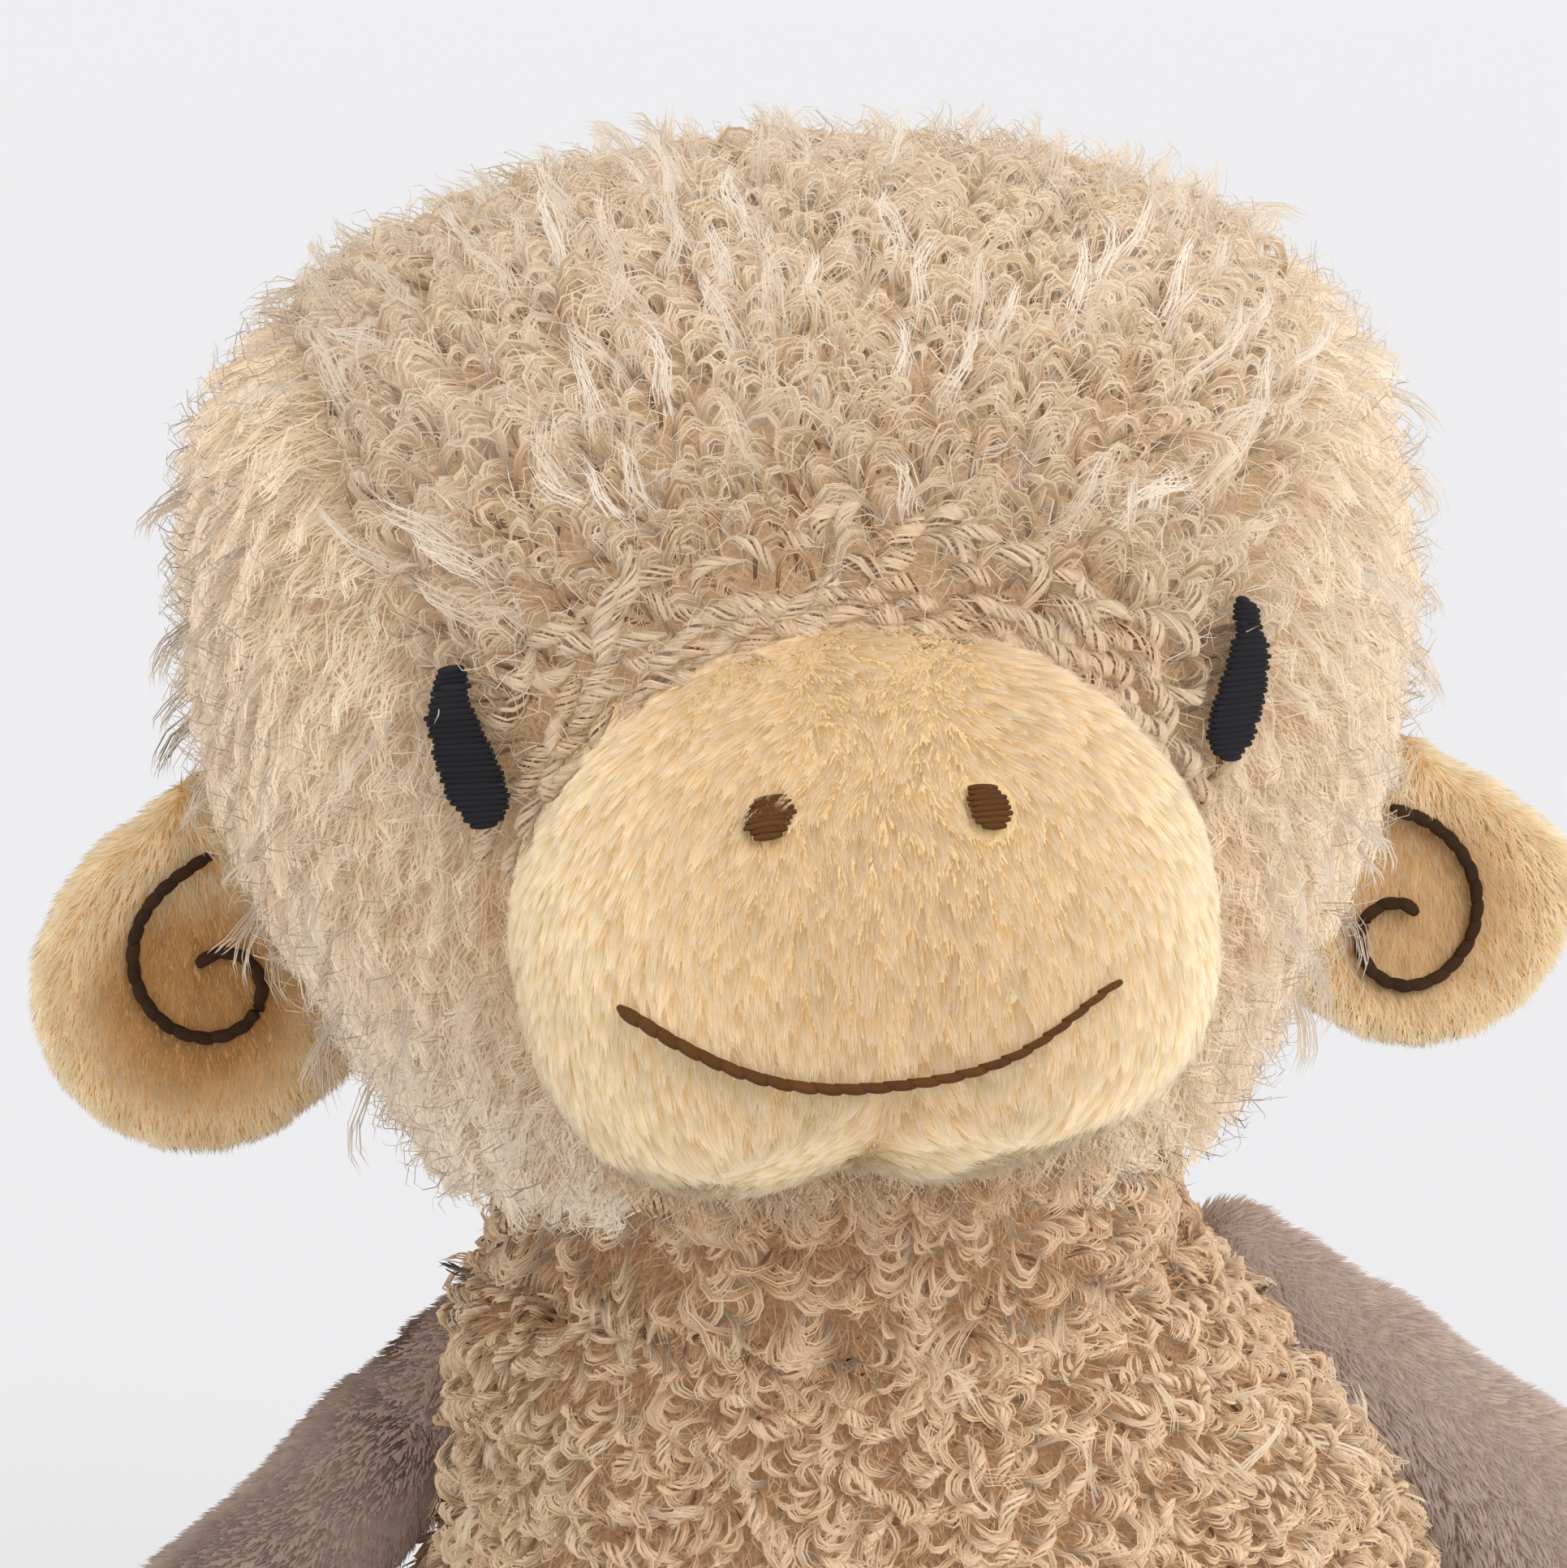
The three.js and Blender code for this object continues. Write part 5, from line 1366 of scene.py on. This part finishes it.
for side in SIDES:
    for limb, end in (("arm", "hand"), ("leg", "foot")):
        body = f"{side}_{limb}"
        rng = chance(body)
        roots = scatter(skins[body], LIMB_DENSITY, rng)
        share = np.where(roots.place[:, Z] > SEEN_HEIGHT, 1.0, HIDDEN_SHARE)
        roots = roots.keep(rng.random(len(roots)) < share)
        cover, tip = f"{body}_cover", f"{side}_{end}_cover"
        owner = nearest_solid(roots, [cover, tip])
        middle = np.array(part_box(tip)).mean(0)
        upper, lower = roots.keep(owner == 0), roots.keep(owner == 1)
        tone = limb_tone(upper, side, limb, rng)
        fibres = plush(upper, upper.flow(middle - upper.place), rng, **LIMB_PILE, tone=tone)
        dress(f"{body}_plush", lit_from(fibres, FRONT_LIGHT, LIMB_WRAP), taupe, body, cover)
        fibres = plush(lower, lower.flow(DOWN), rng, **LIMB_PILE)
        dress(f"{side}_{end}_plush", lit_from(fibres, FRONT_LIGHT, LIMB_WRAP), yellow, body, tip)

# %% [markdown]
# Where an arm is sewn in, its cloth gathers and runs under the curls of the torso. A short sleeve round the
# shoulder shows that. Its inner end lies in the torso's pile.

# %% Shoulders
SHOULDER = np.array([52.255, 7.055, 87.0])
SLEEVE_LINE = unit(np.array([0.74, -0.05, -0.67]))
SLEEVE = [(-16, 6.2), (-10, 6.8), (-4, 7.0), (2, 7.0), (8, 7.0), (12, 6.5)]
SLEEVE_BEND = (-10, 4)
SLEEVE_DENSITY = 3.0


def sleeve(side):
    """A soft bulge round the shoulder's hinge, along a line that runs down and out."""
    built = bmesh.new()
    for distance, radius in SLEEVE:
        place = Matrix.Translation(MM * (SHOULDER + distance * SLEEVE_LINE) * MIRROR[side])
        bmesh.ops.create_icosphere(built, subdivisions=2, radius=radius * MM, matrix=place)
    made = object_of(f"{side}_sleeve_skin", built)
    even_out(made, FINE, rounds=6)
    hang_in(made, side)
    return made


def follow_arm(piece, side):
    """Bakes the place of a piece of a sleeve into its points."""
    hinge = SHOULDER - np.array([ARMS_IN[side], 0, 0])
    start, end = (tuple(MM * (hinge + distance * SLEEVE_LINE) * MIRROR[side]) for distance in SLEEVE_BEND)
    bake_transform(piece)


for side in SIDES:
    rng = chance(f"{side}_sleeve")
    skin = sleeve(side)
    skin.data.materials.append(taupe_cloth)
    follow_arm(skin, side)
    roots = scatter(skin, SLEEVE_DENSITY, rng)
    tone = limb_tone(roots, side, "arm", rng)
    fibres = plush(roots, roots.flow(SLEEVE_LINE * MIRROR[side]), rng, **LIMB_PILE, tone=tone)
    fibres = lit_from(fibres, FRONT_LIGHT, LIMB_WRAP)
    follow_arm(dress(f"{side}_sleeve_plush", fibres, taupe, None, f"{side}_shoulder_tab"), side)

# %% [markdown]
# The tail is a thin tube of the same taupe plush, stroked towards its tip. It is behind the toy, so a
# coarser pile is enough.

# %% Tail
TAIL_DENSITY = 2.0

rng = chance("tail")
tail_roots = scatter(skins["tail"], TAIL_DENSITY, rng)
stroke = tail_roots.flow(np.array([0, 1.0, 0.2]))
tail_fibres = plush(tail_roots, stroke, rng, length=2.2, rise=1.0, thick=0.16)
dress("tail_plush", tail_fibres, taupe, "tail", "tail_cover")

# %% [markdown]
# Thread is a tube with pointed ends. Its finish has fine streaks, from the twist of its fibres, with painted
# highlights in them where thread would catch the light here and there, and the silky gloss of embroidery.

# %% Thread finishes
TWIST_SCALE, TWIST_DEPTH = 1700, 0.2 * MM


def thread_finish(name, dark, light, painted_glint):
    """A finish for thread: each stitch has its own shade, with painted highlights in streaks."""
    finish = Finish(name)
    streaks = finish.noise(TWIST_SCALE, 2.0)
    body = finish.mix(finish.mark("shade"), colour(*dark), colour(*light))
    tint = finish.mix(finish.between(streaks, 0.5, 0.62), body, colour(*painted_glint))
    bump = finish.add("ShaderNodeBump", sockets={"Strength": 0.6, "Distance": TWIST_DEPTH, "Height": streaks})
    return finish.surface(Base_Color=tint, Roughness=0.6, Specular_IOR_Level=0.25, Normal=bump)


dark_thread = thread_finish("dark_thread", (10, 10, 13), (26, 26, 31), (54, 54, 60))
brown_thread = thread_finish("brown_thread", (22, 11, 5), (72, 42, 17), (176, 112, 48))
spiral_thread = thread_finish("spiral_thread", (18, 11, 7), (50, 31, 17), (104, 68, 36))
print("threads:", dark_thread.name, brown_thread.name, spiral_thread.name)

# %% [markdown]
# A stitch is a short line that becomes a tube: thick in the middle, and thin where the needle went in. All
# the stitches of one piece of embroidery are one mesh.

# %% Stitches
STITCH_SIDES = 8


def stitch_rings(lines, radius):
    """Rings of points round each point of each stitch. All stitches have the same number of points."""
    swell = np.sin(np.linspace(0.06, 0.94, lines.shape[1]) * np.pi) ** 0.4
    along = unit(np.gradient(lines, axis=1))
    helper = np.where(np.abs(along[..., 2:]) > 0.8, np.array([1.0, 0, 0]), -DOWN)
    first = unit(np.cross(along, helper))
    second = np.cross(along, first)
    turn = 2 * np.pi * np.arange(STITCH_SIDES) / STITCH_SIDES
    circle = np.cos(turn)[:, None] * first[:, :, None, :] + np.sin(turn)[:, None] * second[:, :, None, :]
    return lines[:, :, None, :] + (radius[:, None] * MM * swell)[:, :, None, None] * circle


def embroider(name, lines, radius, finish, body, node, rng):
    """A piece of embroidery made of stitches."""
    built = bmesh.new()
    shade = built.verts.layers.float.new("shade")
    for stitch in stitch_rings(np.array(lines), np.broadcast_to(radius, len(lines))):
        value = rng.random()
        rows = [[built.verts.new(point) for point in ring] for ring in stitch]
        for row in rows:
            for vertex in row:
                vertex[shade] = value
        for low, high in zip(rows, rows[1:]):
            for k in range(STITCH_SIDES):
                after = (k + 1) % STITCH_SIDES
                built.faces.new((low[k], low[after], high[after], high[k])).smooth = True
        built.faces.new(rows[0][::-1])
        built.faces.new(rows[-1])
    piece = object_of(name, built)
    piece.data.materials.append(finish)
    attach(piece, body)
    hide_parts(node)
    print(f"{name}: {len(lines)} stitches")


print("a stitch has", STITCH_SIDES, "sides")

# %% [markdown]
# The eyes are tall ovals of dark thread in level rows of satin stitch. The fur of the brow hides the upper
# inner edge, so the rows are shorter there. The nostrils are small ovals of the same stitch, in brown.

# %% Eyes and nostrils
EYE_HALVES, EYE_LEAN = (3.4, 7.1), 0.9
EYE_PLACES = [-0.65, -0.1, 0.3, 0.55, 0.9]
EYE_KEPT = {"left": [1.0, 0.6, 0.32, 0.14, 0.1], "right": [1.05, 0.7, 0.48, 0.38, 0.5]}
NOSTRIL_HALVES, WHOLE = {"left": (1.75, 2.1), "right": (2.1, 2.1)}, [1.0] * 5
ROW, ROW_POINTS, UNEVEN = 0.5, 9, 0.12
EYE_SLANT, NOSTRIL_SLANT = 0.2, 0.15
EYE_THREAD, NOSTRIL_THREAD = 0.42, 0.36
FULLNESS = 2.3


def satin(solid, axes, halves, kept, lean, slant, rng):
    """Rows of thread across an oval that leans outward, with what the brow leaves of its inner half."""
    middle, normal, rise, across = axes
    half_width, half_height = halves
    inward = -np.sign(middle[X]) * np.sign(across[X])
    tree = solid_tree(solid)
    tilt = slant * np.linspace(-1, 1, ROW_POINTS)
    lines = []
    for height in np.arange(-half_height + ROW / 2, half_height, ROW):
        share = height / half_height
        half = half_width * (1 - abs(share) ** FULLNESS) ** (1 / FULLNESS)
        outer = -half - lean * share + rng.normal(0, UNEVEN)
        inner = half * np.interp(share, EYE_PLACES, kept) - lean * share + rng.normal(0, UNEVEN)
        reach = np.linspace(outer, inner, ROW_POINTS)
        flat = middle + MM * (np.outer(inward * reach, across) + np.outer(height + tilt, rise))
        lines.append(on_solid(tree, flat, normal, lift=-ROW / 3))
    return lines


for side in SIDES:
    rng = chance(f"{side}_eye")
    rows = satin(f"{side}_eye", eyes[side], EYE_HALVES, EYE_KEPT[side], EYE_LEAN, EYE_SLANT, rng)
    embroider(f"{side}_eye_satin", rows, EYE_THREAD, dark_thread, "head", f"{side}_eye", rng)
    rows = satin("muzzle_cover", nostrils[side], NOSTRIL_HALVES[side], WHOLE, 0.0, NOSTRIL_SLANT, rng)
    embroider(f"{side}_nostril_satin", rows, NOSTRIL_THREAD, brown_thread, "head",
              f"{side}_nostril", rng)

# %% [markdown]
# The smile and the ear spirals are stem stitch, which runs along a line in short stitches, each starting
# beside the end of the one before. The smile thins out towards one end, as it does in the picture.

# %% Smile and spirals
STEM_POINTS, STEM_OVERLAP, STEM_SLIDE = 7, 0.28, 0.15
SMILE_THICK, SMILE_THIN, SPIRAL_THICK = 0.62, 0.34, 0.66


def stem_stitches(line, length, sink, normal):
    """Short overlapping stitches along a line, sunk at both ends."""
    distance = np.append(0, np.cumsum(np.linalg.norm(np.diff(line, axis=0), axis=1))) / MM
    across = np.linspace(-1, 1, STEM_POINTS)[:, None]
    lines = []
    for start in np.arange(0, distance[-1] - 0.5 * length, (1 - STEM_OVERLAP) * length):
        places = np.clip(start + np.linspace(0, length, STEM_POINTS), 0, distance[-1])
        points = np.stack([np.interp(places, distance, line[:, axis]) for axis in (X, Y, Z)], axis=1)
        slide = across * STEM_SLIDE * MM * np.cross(unit(points[-1] - points[0]), normal)
        lines.append(points + slide - across ** 4 * sink * MM * normal)
    return lines


lines = stem_stitches(smile, length=2.8, sink=0.6, normal=FORWARD)
radii = np.linspace(SMILE_THICK, SMILE_THIN, len(lines))
embroider("mouth_stem_stitch", lines, radii, brown_thread, "head", "mouth_stitching",
          chance("smile"))
for side in SIDES:
    lines = stem_stitches(spirals[side], length=2.7, sink=0.3, normal=-ear_axes(side)[2])
    embroider(f"{side}_spiral_stem_stitch", lines, SPIRAL_THICK, spiral_thread, f"{side}_ear",
              f"{side}_ear_spiral", chance(f"{side}_spiral"))

# %% [markdown]
# Last, a line is printed to say that the toy is dressed.

# %% Finish
print("the toy is dressed")
